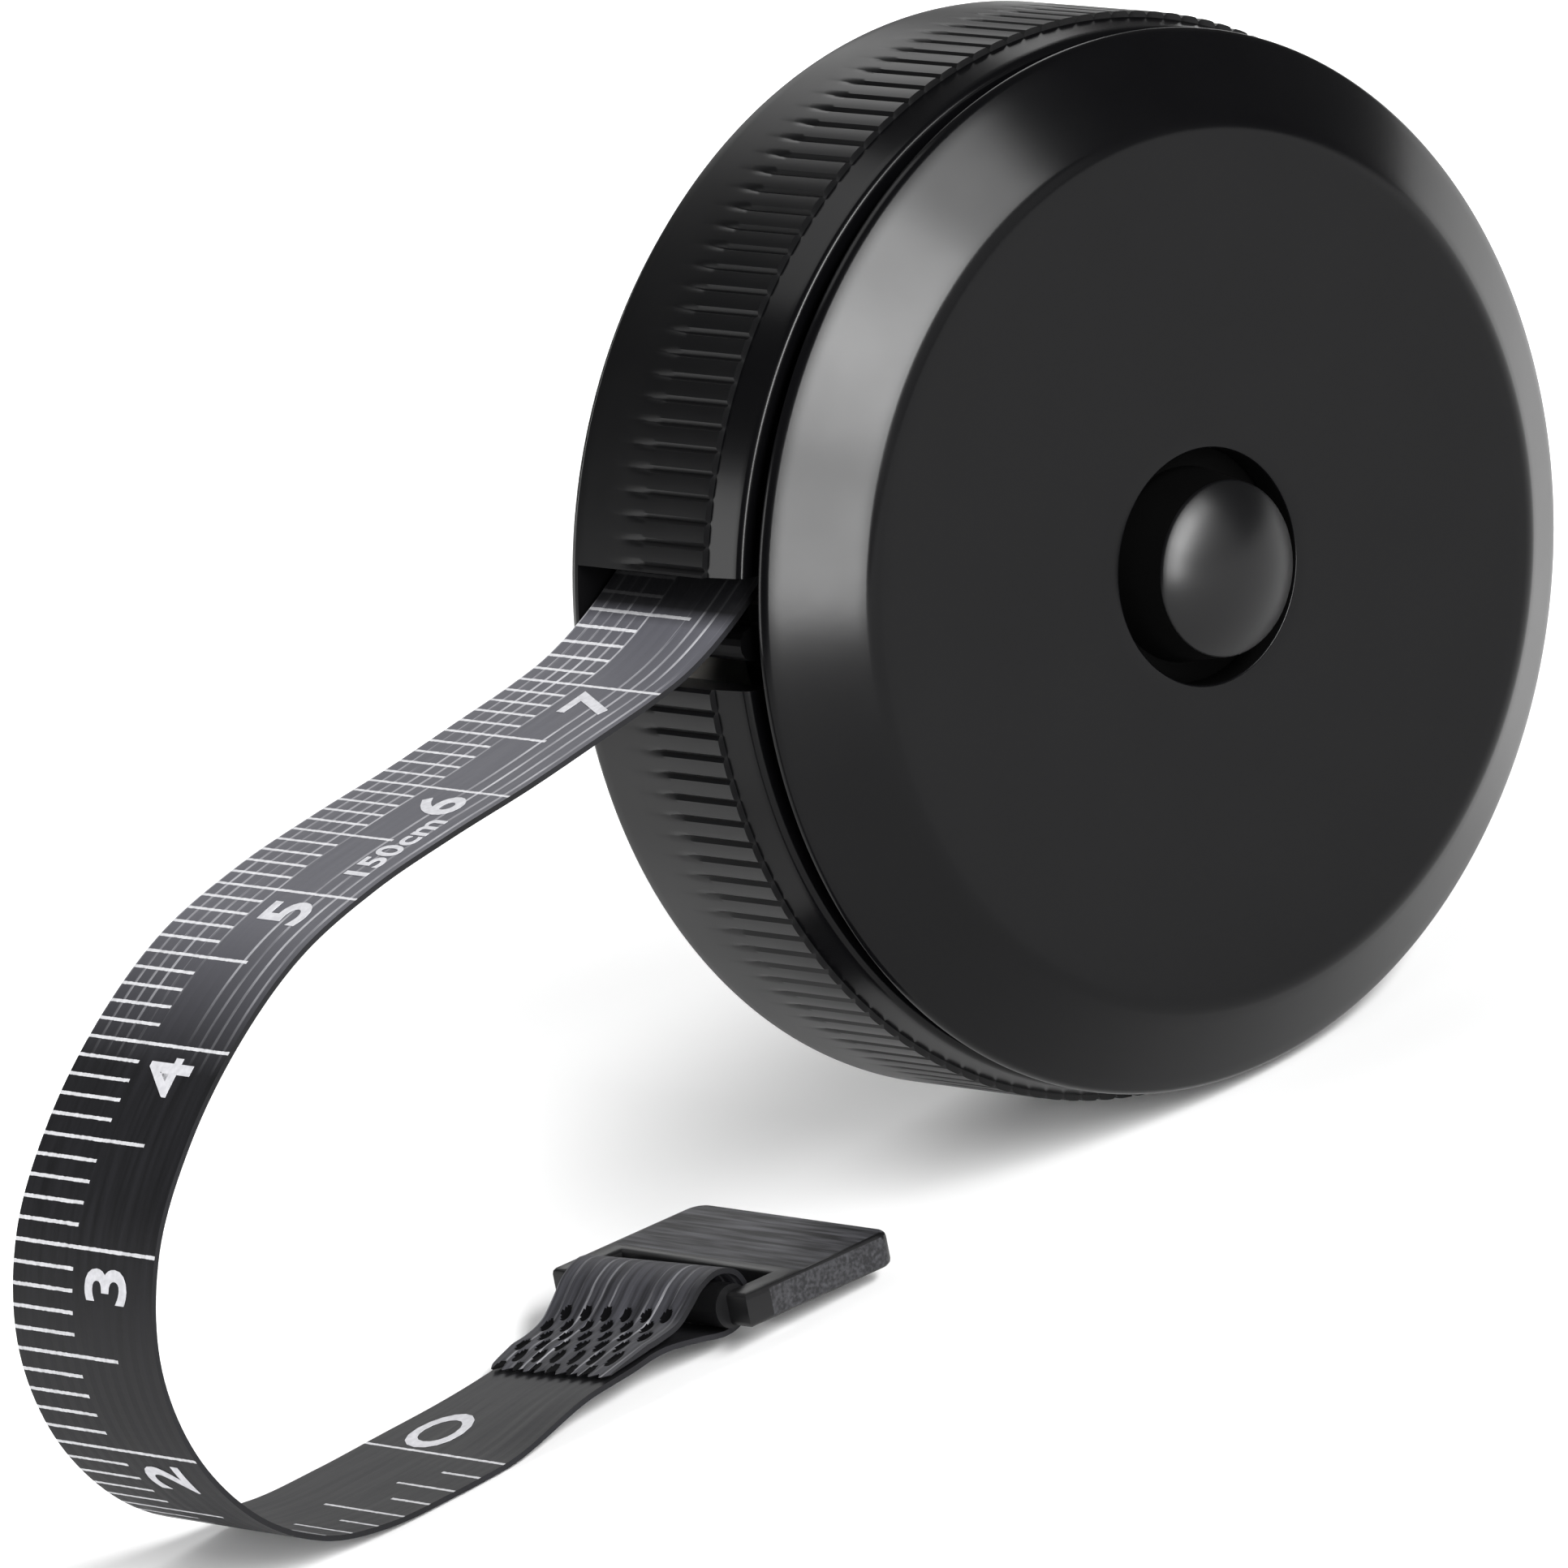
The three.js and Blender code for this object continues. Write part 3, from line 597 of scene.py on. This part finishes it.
# rear cover: the same shape turned round, closed, with the arbor's socket
rearSet = {
    "profile": [
        (0.0, 10.95), (12.0, 10.95), (19.6, 10.95), (20.7, 10.95, 0.45), (21.6, 10.322), (24.2, 8.508),
        (25.0, 7.95, 0.3), (25.0, 7.65, 0.05), (24.1, 7.65), (24.1, 7.55), (23.1, 7.55), (23.1, 5.05),
        (21.9, 5.05), (21.9, 7.25), (19.7, 9.55), (4.75, 9.55), (4.75, 8.65), (3.25, 8.65), (3.25, 9.95),
        (0.0, 9.95)],
    "steps": 240,
}
rearCover = makePiece(lathe(rearSet["profile"], rearSet["steps"]), "rear_cover_shell", [caseBlack])
cutAway(rearCover, reliefBox)
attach(rearCover, "case")
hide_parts("rear_cover")
print("covers made")

# rim: smooth lip that leans to the front, flat-topped ribs with narrow grooves that run out at the rear,
# and a smooth rear band
rimSet = {
    "inner": 23.4, "lipFront": 24.9, "lipBack": 25.3, "crest": 25.6, "front": -3.95, "ribFront": -2.05,
    "ribBack": 3.9, "runOut": 1.8, "back": 7.25,
    "ribs": 144, "perRib": 8, "gather": 1.6, "groove": 0.085, "depth": 0.18, "crown": 0.03,
    "lipRound": 0.32, "lipRise": (0.12, 0.57), "ribStart": (0.05, 0.3), "runOutSteps": 6,
    "bandRings": (5.0, 6.4), "backRound": 0.35, "sharp": 50,
}


# moves a point of the rim to its place on the rib:
# points gather at the groove, which is as deep as the rib is formed
def ribPoint(x, z, full):
    s = rimSet
    turn = math.atan2(z, x) / (2 * math.pi) * s["ribs"]
    middle = round(turn)                                # the nearest groove
    off = 2 * abs(turn - middle)                        # 0 in the groove, 1 on the crown
    moved = off ** s["gather"]
    angle = (middle + math.copysign(moved / 2, turn - middle)) / s["ribs"] * 2 * math.pi
    valley = math.exp(-((moved / 2 / s["groove"]) ** 2))
    sunk = full * (s["depth"] * valley + s["crown"] * (1 - moved) ** 2 * (1 - valley))
    radius = math.hypot(x, z) - sunk * mm
    return radius * math.cos(angle), radius * math.sin(angle)


def makeRim(s):
    crest, ribFront, ribBack = s["crest"], s["ribFront"], s["ribBack"]
    out, steps = s["lipRise"], s["runOutSteps"]
    rings = [*(ribFront + y for y in s["ribStart"]), 0.0, ribBack - s["runOut"]]
    rings += [ribBack - s["runOut"] * (1 - i / steps) for i in range(1, steps + 1)]
    bm = lathe([
        (s["inner"], s["front"]), (s["lipFront"], s["front"], s["lipRound"]),
        (s["lipFront"] + out[0], s["front"] + out[1]), (s["lipBack"], ribFront),
        *((crest, y) for y in rings), *((crest, y) for y in s["bandRings"]),
        (crest, s["back"], s["backRound"]), (s["inner"], s["back"])], s["ribs"] * s["perRib"])
    for v in bm.verts:
        y = v.co.y / mm
        full = min(1.0, max(0.0, (ribBack - y) / s["runOut"])) if y > ribFront + 0.01 else 0.0
        v.co.x, z = ribPoint(v.co.x, v.co.z - caseAxis * mm, full)
        v.co.z = z + caseAxis * mm
    for face in bm.faces:                               # the lip is polished
        if face.calc_center_median().y < ribFront * mm:
            face.material_index = 1
    return makePiece(bm, "rim_band_ribbed", [rimBlack, caseBlack], s["sharp"])


rim = makeRim(rimSet)
cutAway(rim, mouthBox)
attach(rim, "case")
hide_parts("rim_band")
print("rim made:", len(rim.data.polygons), "faces")

# button: ball-shaped dome down to a crease, on a steep wall that stands clear of the cover's hole
buttonSet = {
    "top": -11.45, "ball": 6.3, "rings": 16,
    "wall": [(4.15, -9.89, 0.1), (4.6, -6.85), (7.1, -6.85), (7.1, -5.95), (5.9, -5.95), (5.9, -3.5),
             (4.5, -3.5), (4.5, -6.4), (4.1, -6.9), (4.1, -8.3), (3.6, -9.1), (0.0, -9.1)],
    "steps": 128, "sharp": 40,
    "etched": (4.2, 7.2),       # radii of the wall and the flange
}


def makeButton(s):
    dome = []
    domeLean = math.asin(s["wall"][0][0] / s["ball"])
    for i in range(s["rings"]):
        lean = domeLean * i / s["rings"]
        dome.append((s["ball"] * math.sin(lean), s["top"] + s["ball"] * (1 - math.cos(lean))))
    bm = lathe(dome + s["wall"], s["steps"])
    return makePiece(bm, "button_cap", [buttonBlack, recessBlack], s["sharp"])


button = makeButton(buttonSet)
etchFaces(button, *buttonSet["etched"])
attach(button, "button")
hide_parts("button")
print("button made")

# return spring: a coil in the button's hollow, riding with the button
coilSet = {"radius": 3.7, "wire": 0.3, "sides": 10, "turns": 5, "perTurn": 32, "travel": 1.0}


def makeCoil(s, low, high):
    bm = bmesh.new()
    steps = s["turns"] * s["perTurn"]
    rise = (high.y - low.y - 2 * s["wire"] * mm) / steps
    bmesh.ops.create_circle(bm, segments=s["sides"], radius=s["wire"] * mm)
    bmesh.ops.translate(bm, verts=bm.verts[:],
                        vec=(s["radius"] * mm, low.y + s["wire"] * mm, caseAxis * mm))
    bmesh.ops.spin(bm, geom=bm.verts[:] + bm.edges[:], axis=(0, 1, 0), cent=(0, 0, caseAxis * mm),
                   dvec=(0, rise, 0), angle=2 * math.pi * s["turns"], steps=steps)
    bmesh.ops.holes_fill(bm, edges=bm.edges[:], sides=0)
    return makePiece(bm, "button_spring_coil", [springSteel])


coilLow, coilHigh = (Vector(corner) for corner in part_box("button_spring"))
coil = makeCoil(coilSet, coilLow, coilHigh)
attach(coil, "button")
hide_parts("button_spring")
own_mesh(coil)
print("return spring made")


# gives a strip its thickness, with the materials of its outer face, inner face and edges
def solidStrip(bm, name, materials):
    strip = makePiece(bm, name, materials, tapeSet["sharp"], recalc=False)
    wall = strip.modifiers.new("wall", "SOLIDIFY")
    wall.thickness, wall.offset, wall.use_even_offset = tapeSet["thickness"] * mm, 0.0, True
    wall.material_offset, wall.material_offset_rim = 1, 2
    applyModifiers(strip)
    strip.data.shade_smooth()
    strip.data.set_sharp_from_angle(angle=math.radians(tapeSet["sharp"]))
    return strip


# tape: a strip drawn along its line by extruding its cross edge step by step
def drawStrip(name, fromRun, toRun, rows, stepAt, materials):
    bm = bmesh.new()
    runLayer = bm.verts.layers.float.new("run")
    acrossLayer = bm.verts.layers.float.new("across")
    back, front = onTape(fromRun, 0), onTape(fromRun, 1)
    first = bm.edges.new((bm.verts.new(back), bm.verts.new(front)))
    bmesh.ops.subdivide_edges(bm, edges=[first], cuts=rows - 1)
    for v in bm.verts:
        v[runLayer] = fromRun
        v[acrossLayer] = (v.co.y - back.y) / (front.y - back.y)
    edges, run = bm.edges[:], fromRun
    while run < toRun - 1e-6:
        after = min(run + stepAt(run), toRun)
        grown = bmesh.ops.extrude_edge_only(bm, edges=edges)["geom"]
        verts = [g for g in grown if isinstance(g, bmesh.types.BMVert)]
        edges = [g for g in grown if isinstance(g, bmesh.types.BMEdge)]
        for v in verts:
            v[runLayer] = after
            v.co = onTape(after, v[acrossLayer])
        run = after
    uv = bm.loops.layers.uv.new("scale")
    for face in bm.faces:
        for loop in face.loops:
            loop[uv].uv = ((zeroRun - loop.vert[runLayer]) * mm, loop.vert[acrossLayer])
        face.normal_update()
    # the outer face of the loop carries the first material
    probe = next(iter(bm.faces))
    run = sum(l.vert[runLayer] for l in probe.loops) / len(probe.loops)
    if (onTape(run, 0.5, 1.0) - onTape(run, 0.5)).dot(probe.normal) < 0:
        bmesh.ops.reverse_faces(bm, faces=bm.faces[:])
    return solidStrip(bm, name, materials)


# finer steps where the tape pays out of the mouth
def tapeStep(run):
    before, beyond = tapeSet["fineMargin"]
    return tapeSet["fineStep"] if mouthRun - before < run < freeRun + beyond else tapeSet["step"]


tapeMaterials = [tapeCm, tapeInch, tapeEdge]
tape = drawStrip("tape_strip", 0.0, barRun, tapeSet["rows"], tapeStep, tapeMaterials)
paidOut = tape.data.attributes.new("paidOut", "FLOAT", "POINT")
paidOut.data.foreach_set(
    "value", [1.0 if v.co.x >= tapeSet["drawnTo"] * mm else 0.0 for v in tape.data.vertices])
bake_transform(tape)
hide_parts("tape_span", "tape_loop")

# folded end: goes round the tab's bar and is welded down in a field of small slanted dents;
# its last stretch is pressed thin and cut askew with a jagged edge
weldSet = {
    "from": -36.9, "columns": 6, "first": 0.35, "alongPitch": 0.86, "acrossPitch": 1.46,
    "half": (0.46, 0.31), "slant": 0.1, "reach": 1.2, "depth": 0.14, "margin": 0.5, "endMargin": 0.1,
    "jag": 0.4, "teeth": 11, "askew": 1.0, "flatten": 1.8, "thin": 0.22, "before": 0.5,
    "rows": 100, "step": 0.3, "fineStep": 0.09, "fineMargin": 0.4,
    "dentShare": 0.3, "dentIndex": 3,
}
weldStart = runAtX(weldSet["from"], tapeSet["foldSpan"])


# depth of the dents at a point of the fold, mm
def weldDent(run, across):
    w = weldSet
    sunk = 0.0
    for column in range(w["columns"]):
        middleRun = weldStart + w["first"] + column * w["alongPitch"]
        if abs(run - middleRun) > w["reach"] or middleRun > endRun - w["endMargin"]:
            continue
        row = round((across - (column % 2) * w["acrossPitch"] / 2) / w["acrossPitch"])
        middle = row * w["acrossPitch"] + (column % 2) * w["acrossPitch"] / 2
        if not w["margin"] < middle < tapeWidth - w["margin"]:
            continue
        along, aside = run - middleRun, across - middle - w["slant"] * (run - middleRun)
        away = (along / w["half"][0]) ** 2 + (aside / w["half"][1]) ** 2
        sunk = max(sunk, w["depth"] * math.exp(-away ** 3))
    return sunk


def foldStep(run):
    return weldSet["fineStep"] if run > weldStart - weldSet["fineMargin"] else weldSet["step"]


# presses the dents into the fold's upper face and gives their faces the darker, matt weld material
def weldFold(fold, s):
    foldUv = fold.data.uv_layers["scale"].data
    foldRun = {}
    for loop in fold.data.loops:
        u, v = foldUv[loop.index].uv
        foldRun[loop.vertex_index] = (zeroRun - u / mm, v)
    pressed = [0.0] * len(fold.data.vertices)
    for index, (run, across) in foldRun.items():
        if run > weldStart - s["before"]:
            spot = fold.data.vertices[index].co
            sunk = weldDent(run, across * tapeWidth)
            late = max(0.0, 1 - (endRun - run) / s["flatten"])
            if spot.z > onTape(run, across).z:
                pressed[index] = sunk / s["depth"]
                spot.z -= (sunk * (1 - late) + s["thin"] * late) * mm
            tooth = abs(2 * (across * s["teeth"] % 1) - 1)
            spot.x += (late ** 4 * s["jag"] * tooth - late * s["askew"] * across) * mm
    for face in fold.data.polygons:
        if sum(pressed[index] for index in face.vertices) > s["dentShare"] * len(face.vertices):
            face.material_index = s["dentIndex"]


foldMaterials = [tapeFold, tapeFold, tapeEdge, weldBlack]
fold = drawStrip("tape_fold", barRun, endRun, weldSet["rows"], foldStep, foldMaterials)
weldFold(fold, weldSet)
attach(fold, "tape")
print("tape made:", len(tape.data.polygons), "faces, fold", len(fold.data.polygons))

# the rest of the tape: wound on the spool in even layers, the outermost leaving where the free strip begins
windSet = {"inner": 10.95, "outer": 16.6, "turns": 16, "perTurn": 64, "leave": 118.3}


def windTape(s):
    bm = bmesh.new()
    runLayer = bm.verts.layers.float.new("run")
    sides = [bm.verts.new((0, y * mm, 0)) for y in (tapeSet["backY"], tapeSet["frontY"])]
    edges = [bm.edges.new(sides)]
    verts, run, steps = sides, 0.0, s["turns"] * s["perTurn"]
    for i in range(steps + 1):
        if i:
            grown = bmesh.ops.extrude_edge_only(bm, edges=edges)["geom"]
            verts = [g for g in grown if isinstance(g, bmesh.types.BMVert)]
            edges = [g for g in grown if isinstance(g, bmesh.types.BMEdge)]
        radius = s["inner"] + (s["outer"] - s["inner"]) * i / steps
        angle = math.radians(s["leave"] + 360 * i / s["perTurn"])
        run += 2 * math.pi * radius / s["perTurn"] if i else 0.0
        for v in verts:
            v.co = Vector((radius * math.cos(angle), v.co.y / mm, caseAxis + radius * math.sin(angle))) * mm
            v[runLayer] = run
    uv = bm.loops.layers.uv.new("scale")
    for face in bm.faces:
        for loop in face.loops:
            across = 0 if loop.vert.co.y > 0 else 1
            loop[uv].uv = ((zeroRun + run - loop.vert[runLayer]) * mm, across)
        face.normal_update()
    probe = next(iter(bm.faces))
    if probe.normal.dot(probe.calc_center_median() - Vector((0, 0, caseAxis * mm))) < 0:
        bmesh.ops.reverse_faces(bm, faces=bm.faces[:])
    print("tape wound: %.0f mm in %d turns" % (run, s["turns"]))
    return solidStrip(bm, "tape_wound", tapeMaterials)


winding = windTape(windSet)
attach(winding, "spool")
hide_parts("tape_winding")

# printed numbers, thin ink laid on the tape; the big nought is on the inch side
numberSet = {
    "lift": 0.012, "ink": 0.02, "bold": 0.018, "resolution": 4, "pitch": 0.2, "sharp": 30,
    "last": 7, "height": 2.95, "before": 1.55, "across": 0.67,      # the centimetre numbers
    # text, height in mm, mark in mm, place across, side; the round letter has the nought's shape
    "others": [("150cm", 1.6, 54.3, 0.80, "cm"), ("O", 3.25, -1.95, 0.32, "inch")],
}


def inkText(name, text, height, mark, acrossMiddle, side):
    curve = bpy.data.curves.new(name, "FONT")
    curve.body, curve.align_x, curve.align_y = text, "CENTER", "CENTER"
    curve.size, curve.offset, curve.resolution_u = 1.0, numberSet["bold"], numberSet["resolution"]
    holder = bpy.data.objects.new(name, curve)
    scene.collection.objects.link(holder)
    shown = holder.evaluated_get(bpy.context.evaluated_depsgraph_get())
    bm = bmesh.new()
    bm.from_mesh(shown.to_mesh())
    bpy.data.objects.remove(holder)
    low = min(v.co.y for v in bm.verts)
    high = max(v.co.y for v in bm.verts)
    bmesh.ops.translate(bm, verts=bm.verts[:], vec=(0, -(low + high) / 2, 0))
    bmesh.ops.scale(bm, verts=bm.verts[:], vec=(height / (high - low),) * 3)
    left = min(v.co.x for v in bm.verts)
    right = max(v.co.x for v in bm.verts)
    for i in range(1, int((right - left) / numberSet["pitch"])):
        bmesh.ops.bisect_plane(bm, geom=bm.verts[:] + bm.edges[:] + bm.faces[:],
                               plane_co=(left + numberSet["pitch"] * i, 0, 0), plane_no=(1, 0, 0))
    bmesh.ops.remove_doubles(bm, verts=bm.verts[:], dist=1e-4)
    grown = bmesh.ops.extrude_face_region(bm, geom=bm.faces[:])["geom"]
    bmesh.ops.translate(bm, verts=[g for g in grown if isinstance(g, bmesh.types.BMVert)],
                        vec=(0, 0, numberSet["ink"]))
    half = tapeSet["thickness"] / 2
    sign = 1 if side == "cm" else -1
    for v in bm.verts:
        lift = sign * (half + numberSet["lift"] + v.co.z)
        v.co = onTape(zeroRun - mark - v.co.x, acrossMiddle - v.co.y / tapeWidth, lift)
    return bm


def joinPrint(name, texts):
    whole = bmesh.new()
    for entry in texts:
        part = inkText(name, *entry)
        mesh = bpy.data.meshes.new("part")
        part.to_mesh(mesh)
        part.free()
        whole.from_mesh(mesh)
        bpy.data.meshes.remove(mesh)
    bmesh.ops.recalc_face_normals(whole, faces=whole.faces[:])
    return makePiece(whole, name, [printInk], numberSet["sharp"], recalc=False)


texts = [(str(n), numberSet["height"], 10.0 * n - numberSet["before"], numberSet["across"], "cm")
         for n in range(1, numberSet["last"] + 1)]
numbers = joinPrint("tape_numbers", texts + numberSet["others"])
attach(numbers, "tape")
print("numbers made:", len(numbers.data.polygons), "faces")

# pull tab: ribbed plate with rounded far corners, two arms and a round bar
tabSet = {
    "bar": (-34.6, 1.2, 2.15), "tilt": 3.5, "length": 9.1, "width": 13.7, "above": 0.75, "below": 0.9,
    "slot": 2.7, "grain": 1.2, "armInner": 5.25, "armEnd": -0.3, "corner": 0.9, "barRadius": 1.05,
    "edge": 0.3, "ribPitch": 0.5, "ribDepth": 0.06, "ribFrom": 0.6, "ribEnd": 0.5, "barSunk": 0.4,
    "streakFrom": 0.35, "streakBelow": 0.12, "streakEdge": 0.02, "upward": 0.6, "sideSkin": 0.05, "sharp": 30,
}


def makeTab(s):
    bm = bmesh.new()
    half = s["width"] / 2
    outline = [
        (s["armEnd"], -half), (s["length"], -half), (s["length"], half), (s["armEnd"], half),
        (s["armEnd"], s["armInner"]), (s["slot"], s["armInner"]), (s["slot"], -s["armInner"]),
        (s["armEnd"], -s["armInner"])]
    corners = [bm.verts.new((x, y, -s["below"])) for x, y in outline]
    bm.faces.new(corners)
    bmesh.ops.bevel(bm, geom=corners[1:3], offset=s["corner"], offset_type="OFFSET", segments=8,
                    profile=0.5, affect="VERTICES", material=-1)
    bmesh.ops.recalc_face_normals(bm, faces=bm.faces[:])
    grown = bmesh.ops.extrude_face_region(bm, geom=bm.faces[:])["geom"]
    bmesh.ops.translate(bm, verts=[g for g in grown if isinstance(g, bmesh.types.BMVert)],
                        vec=(0, 0, s["above"] + s["below"]))
    bmesh.ops.recalc_face_normals(bm, faces=bm.faces[:])
    rims = [e for e in bm.edges if abs(e.verts[0].co.z - e.verts[1].co.z) < 1e-6]
    bmesh.ops.bevel(bm, geom=rims, offset=s["edge"], offset_type="OFFSET", segments=3, profile=0.5,
                    affect="EDGES", clamp_overlap=True, material=-1)
    # a cut where the grained sides begin, then fine cross ribs on top
    bmesh.ops.bisect_plane(bm, geom=bm.verts[:] + bm.edges[:] + bm.faces[:], plane_co=(s["grain"], 0, 0),
                           plane_no=(1, 0, 0))
    at, odd = s["slot"] + s["ribFrom"], False
    while at < s["length"] - s["ribEnd"]:
        bmesh.ops.bisect_plane(bm, geom=bm.verts[:] + bm.edges[:] + bm.faces[:], plane_co=(at, 0, 0),
                               plane_no=(1, 0, 0))
        if odd:
            for v in bm.verts:
                if abs(v.co.x - at) < 1e-5 and v.co.z > s["above"] - 1e-4:
                    v.co.z -= s["ribDepth"]
        at, odd = at + s["ribPitch"] / 2, not odd
    bar = bmesh.ops.create_cone(bm, cap_ends=True, segments=32, radius1=s["barRadius"],
                                radius2=s["barRadius"], depth=2 * s["armInner"] + s["barSunk"])["verts"]
    bmesh.ops.rotate(bm, verts=bar, cent=(0, 0, 0), matrix=Matrix.Rotation(math.pi / 2, 3, "X"))
    # streaked top and grained sides, plain black edges, arms and bar; on the arms and bar the black is
    # painted shade, as they are of the plate's own plastic
    bmesh.ops.recalc_face_normals(bm, faces=bm.faces[:])
    for face in bm.faces:
        middle = face.calc_center_median()
        onTop = face.normal.z > s["upward"] and middle.z > s["above"] - s["streakBelow"]
        if middle.x > s["grain"] and abs(middle.y) > half - s["sideSkin"]:
            face.material_index = 2
        elif onTop and middle.x > s["slot"] + s["streakFrom"]:
            face.material_index = 1 if abs(middle.y) < half - s["edge"] - s["streakEdge"] else 0
    tilt = Matrix.Rotation(math.radians(s["tilt"]), 3, "Y")
    bmesh.ops.rotate(bm, verts=bm.verts[:], cent=(0, 0, 0), matrix=tilt)
    bmesh.ops.translate(bm, verts=bm.verts[:], vec=s["bar"])
    bmesh.ops.scale(bm, verts=bm.verts[:], vec=(mm, mm, mm))
    return makePiece(bm, "tab_plate", [tabBlackPaintedShade, tabTop, tabSide], s["sharp"])


tab = makeTab(tabSet)
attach(tab, "tab")
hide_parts("end_tab")
print("tab made")

# finishes of the inner pieces that stay as the solids have them
innerFinish = {
    springSteel: ["arbor", "spring_washer", "mainspring"],
    pinSteel: ["mouth_guide_pin"],
    innerNatural: ["thrust_washer", "brake_disc", "spool_drum", "spool_front_flange", "spool_bush",
                   "mainspring_cover"],
    brakeRubber: ["brake_ring"],
}
for mat, names in innerFinish.items():
    for name in names:
        nodes[name].data.materials.clear()
        nodes[name].data.materials.append(mat)
for cutter in (mouthBox, reliefBox):
    bpy.data.objects.remove(cutter)
print("inner pieces finished")


# floor and studio light: a row of four softboxes bent round the front left, a wide dim one at the front
# right, one overhead, one behind at the right and a tall one at the left
studio = {
    "floor": 8.0, "floorGap": 0.02, "world": 0.1, "distance": 2.5,
    # painted light: lift of the floor behind the object, which fades the object's shadow there, and Y in mm
    # over which it sets in
    "glow": 0.5, "paintedLightY": (14.0, 40.0),
    # place round the bevel that mirrors it, length in m, power in W
    "row": [(107.5, 0.76, 15.0), (122.5, 0.76, 36.0), (137.5, 0.76, 40.0), (155.5, 0.95, 36.0)],
    "rowWidth": 0.42, "rowTurn": 4,
    "front": {"toward": (0.24, -0.94, 0.25), "along": (0.94, 0.24, 0), "size": (2.0, 1.05), "power": 6.0},
    "top": {"toward": (-0.1, 0.3, 0.95), "along": (1, 0, 0), "size": (1.4, 1.4), "power": 15.0},
    "back": {"toward": (0.48, 0.75, 0.42), "along": (1, -0.6, 0), "size": (1.4, 0.9), "power": 8.0},
    "left": {"toward": (-0.88, 0.43, 0.26), "along": (0.43, 0.88, 0), "size": (0.8, 1.3), "power": 21.0},
}


def makeFloor(s):
    bm = bmesh.new()
    bmesh.ops.create_grid(bm, x_segments=1, y_segments=1, size=s["floor"] / 2)
    bmesh.ops.translate(bm, verts=bm.verts[:], vec=(0, 0, -s["floorGap"] * mm))
    mat, tree = startMaterial("floor_paper")
    place = addNode(tree, "ShaderNodeTexCoord").outputs["Object"]
    tone = addNode(tree, "ShaderNodeTexNoise", None, {"Vector": place, "Scale": 6.0, "Detail": 1.0})
    colour = addNode(tree, "ShaderNodeMix", {"data_type": "RGBA"}, {
        0: tone.outputs["Fac"], 6: hexColour("#fcfcfc"), 7: hexColour("#fefefe")})
    shader = addNode(tree, "ShaderNodeBsdfPrincipled", None, {
        "Base Color": colour.outputs[2], "Roughness": 0.9, "Specular IOR Level": 0.1})
    # painted light: behind the object the paper glows for camera, glossy and transmission rays, lighter to
    # the eye and in reflections than the lamps alone make it, which fades the object's shadow there
    path = addNode(tree, "ShaderNodeLightPath")
    seen = addNode(tree, "ShaderNodeMath", {"operation": "MAXIMUM"}, {
        0: path.outputs["Is Camera Ray"], 1: path.outputs["Is Glossy Ray"]})
    seen = addNode(tree, "ShaderNodeMath", {"operation": "MAXIMUM"}, {
        0: seen.outputs[0], 1: path.outputs["Is Transmission Ray"]})
    apart = addNode(tree, "ShaderNodeSeparateXYZ", None, {0: place})
    behind = addNode(tree, "ShaderNodeMapRange", {"interpolation_type": "SMOOTHSTEP"}, {
        "Value": apart.outputs[1], "From Min": s["paintedLightY"][0] * mm, "From Max": s["paintedLightY"][1] * mm,
        "To Min": 0.0, "To Max": s["glow"]})
    lift = addNode(tree, "ShaderNodeMath", {"operation": "MULTIPLY"}, {
        0: seen.outputs[0], 1: behind.outputs[0]})
    glow = addNode(tree, "ShaderNodeEmission", None, {"Color": (1, 1, 1, 1), "Strength": lift.outputs[0]})
    both = addNode(tree, "ShaderNodeAddShader", None, {0: shader.outputs[0], 1: glow.outputs[0]})
    closeMaterial(tree, both)
    floor = makePiece(bm, "floor", [mat], recalc=False)


def makeLamp(name, toward, along, size, power):
    data = bpy.data.lights.new(name, "AREA")
    data.shape, data.energy = "RECTANGLE", power
    data.size, data.size_y = size
    lamp = bpy.data.objects.new(name, data)
    scene.collection.objects.link(lamp)
    back = Vector(toward).normalized()
    side = Vector(along)
    side = (side - back * side.dot(back)).normalized()
    lamp.matrix_world = Matrix((side, back.cross(side), back)).transposed().to_4x4()
    lamp.location = Vector((0, 0, caseAxis * mm)) + back * studio["distance"]


# direction that the front bevel mirrors to the camera, at an angle round its ring
def mirrored(angle):
    view = cameraSide(cameraSet)
    slope, turn = math.radians(frontSet["slope"]), math.radians(angle)
    across = math.sin(slope)
    normal = Vector((across * math.cos(turn), -math.cos(slope), across * math.sin(turn)))
    return 2 * normal.dot(view) * normal - view


def makeWorld(strength):
    world = bpy.data.worlds.new("studio")
    world.use_nodes = True
    tree = world.node_tree
    tree.nodes.clear()
    glow = addNode(tree, "ShaderNodeBackground", None, {"Color": (1, 1, 1, 1), "Strength": strength})
    addNode(tree, "ShaderNodeOutputWorld", None, {"Surface": glow.outputs[0]})
    scene.world = world


makeFloor(studio)
for i, (angle, length, power) in enumerate(studio["row"]):
    along = mirrored(angle + studio["rowTurn"]) - mirrored(angle - studio["rowTurn"])
    makeLamp("row%d" % i, mirrored(angle), along, (length, studio["rowWidth"]), power)
for name in ("front", "top", "back", "left"):
    makeLamp(name, **studio[name])
makeWorld(studio["world"])
print("studio made")
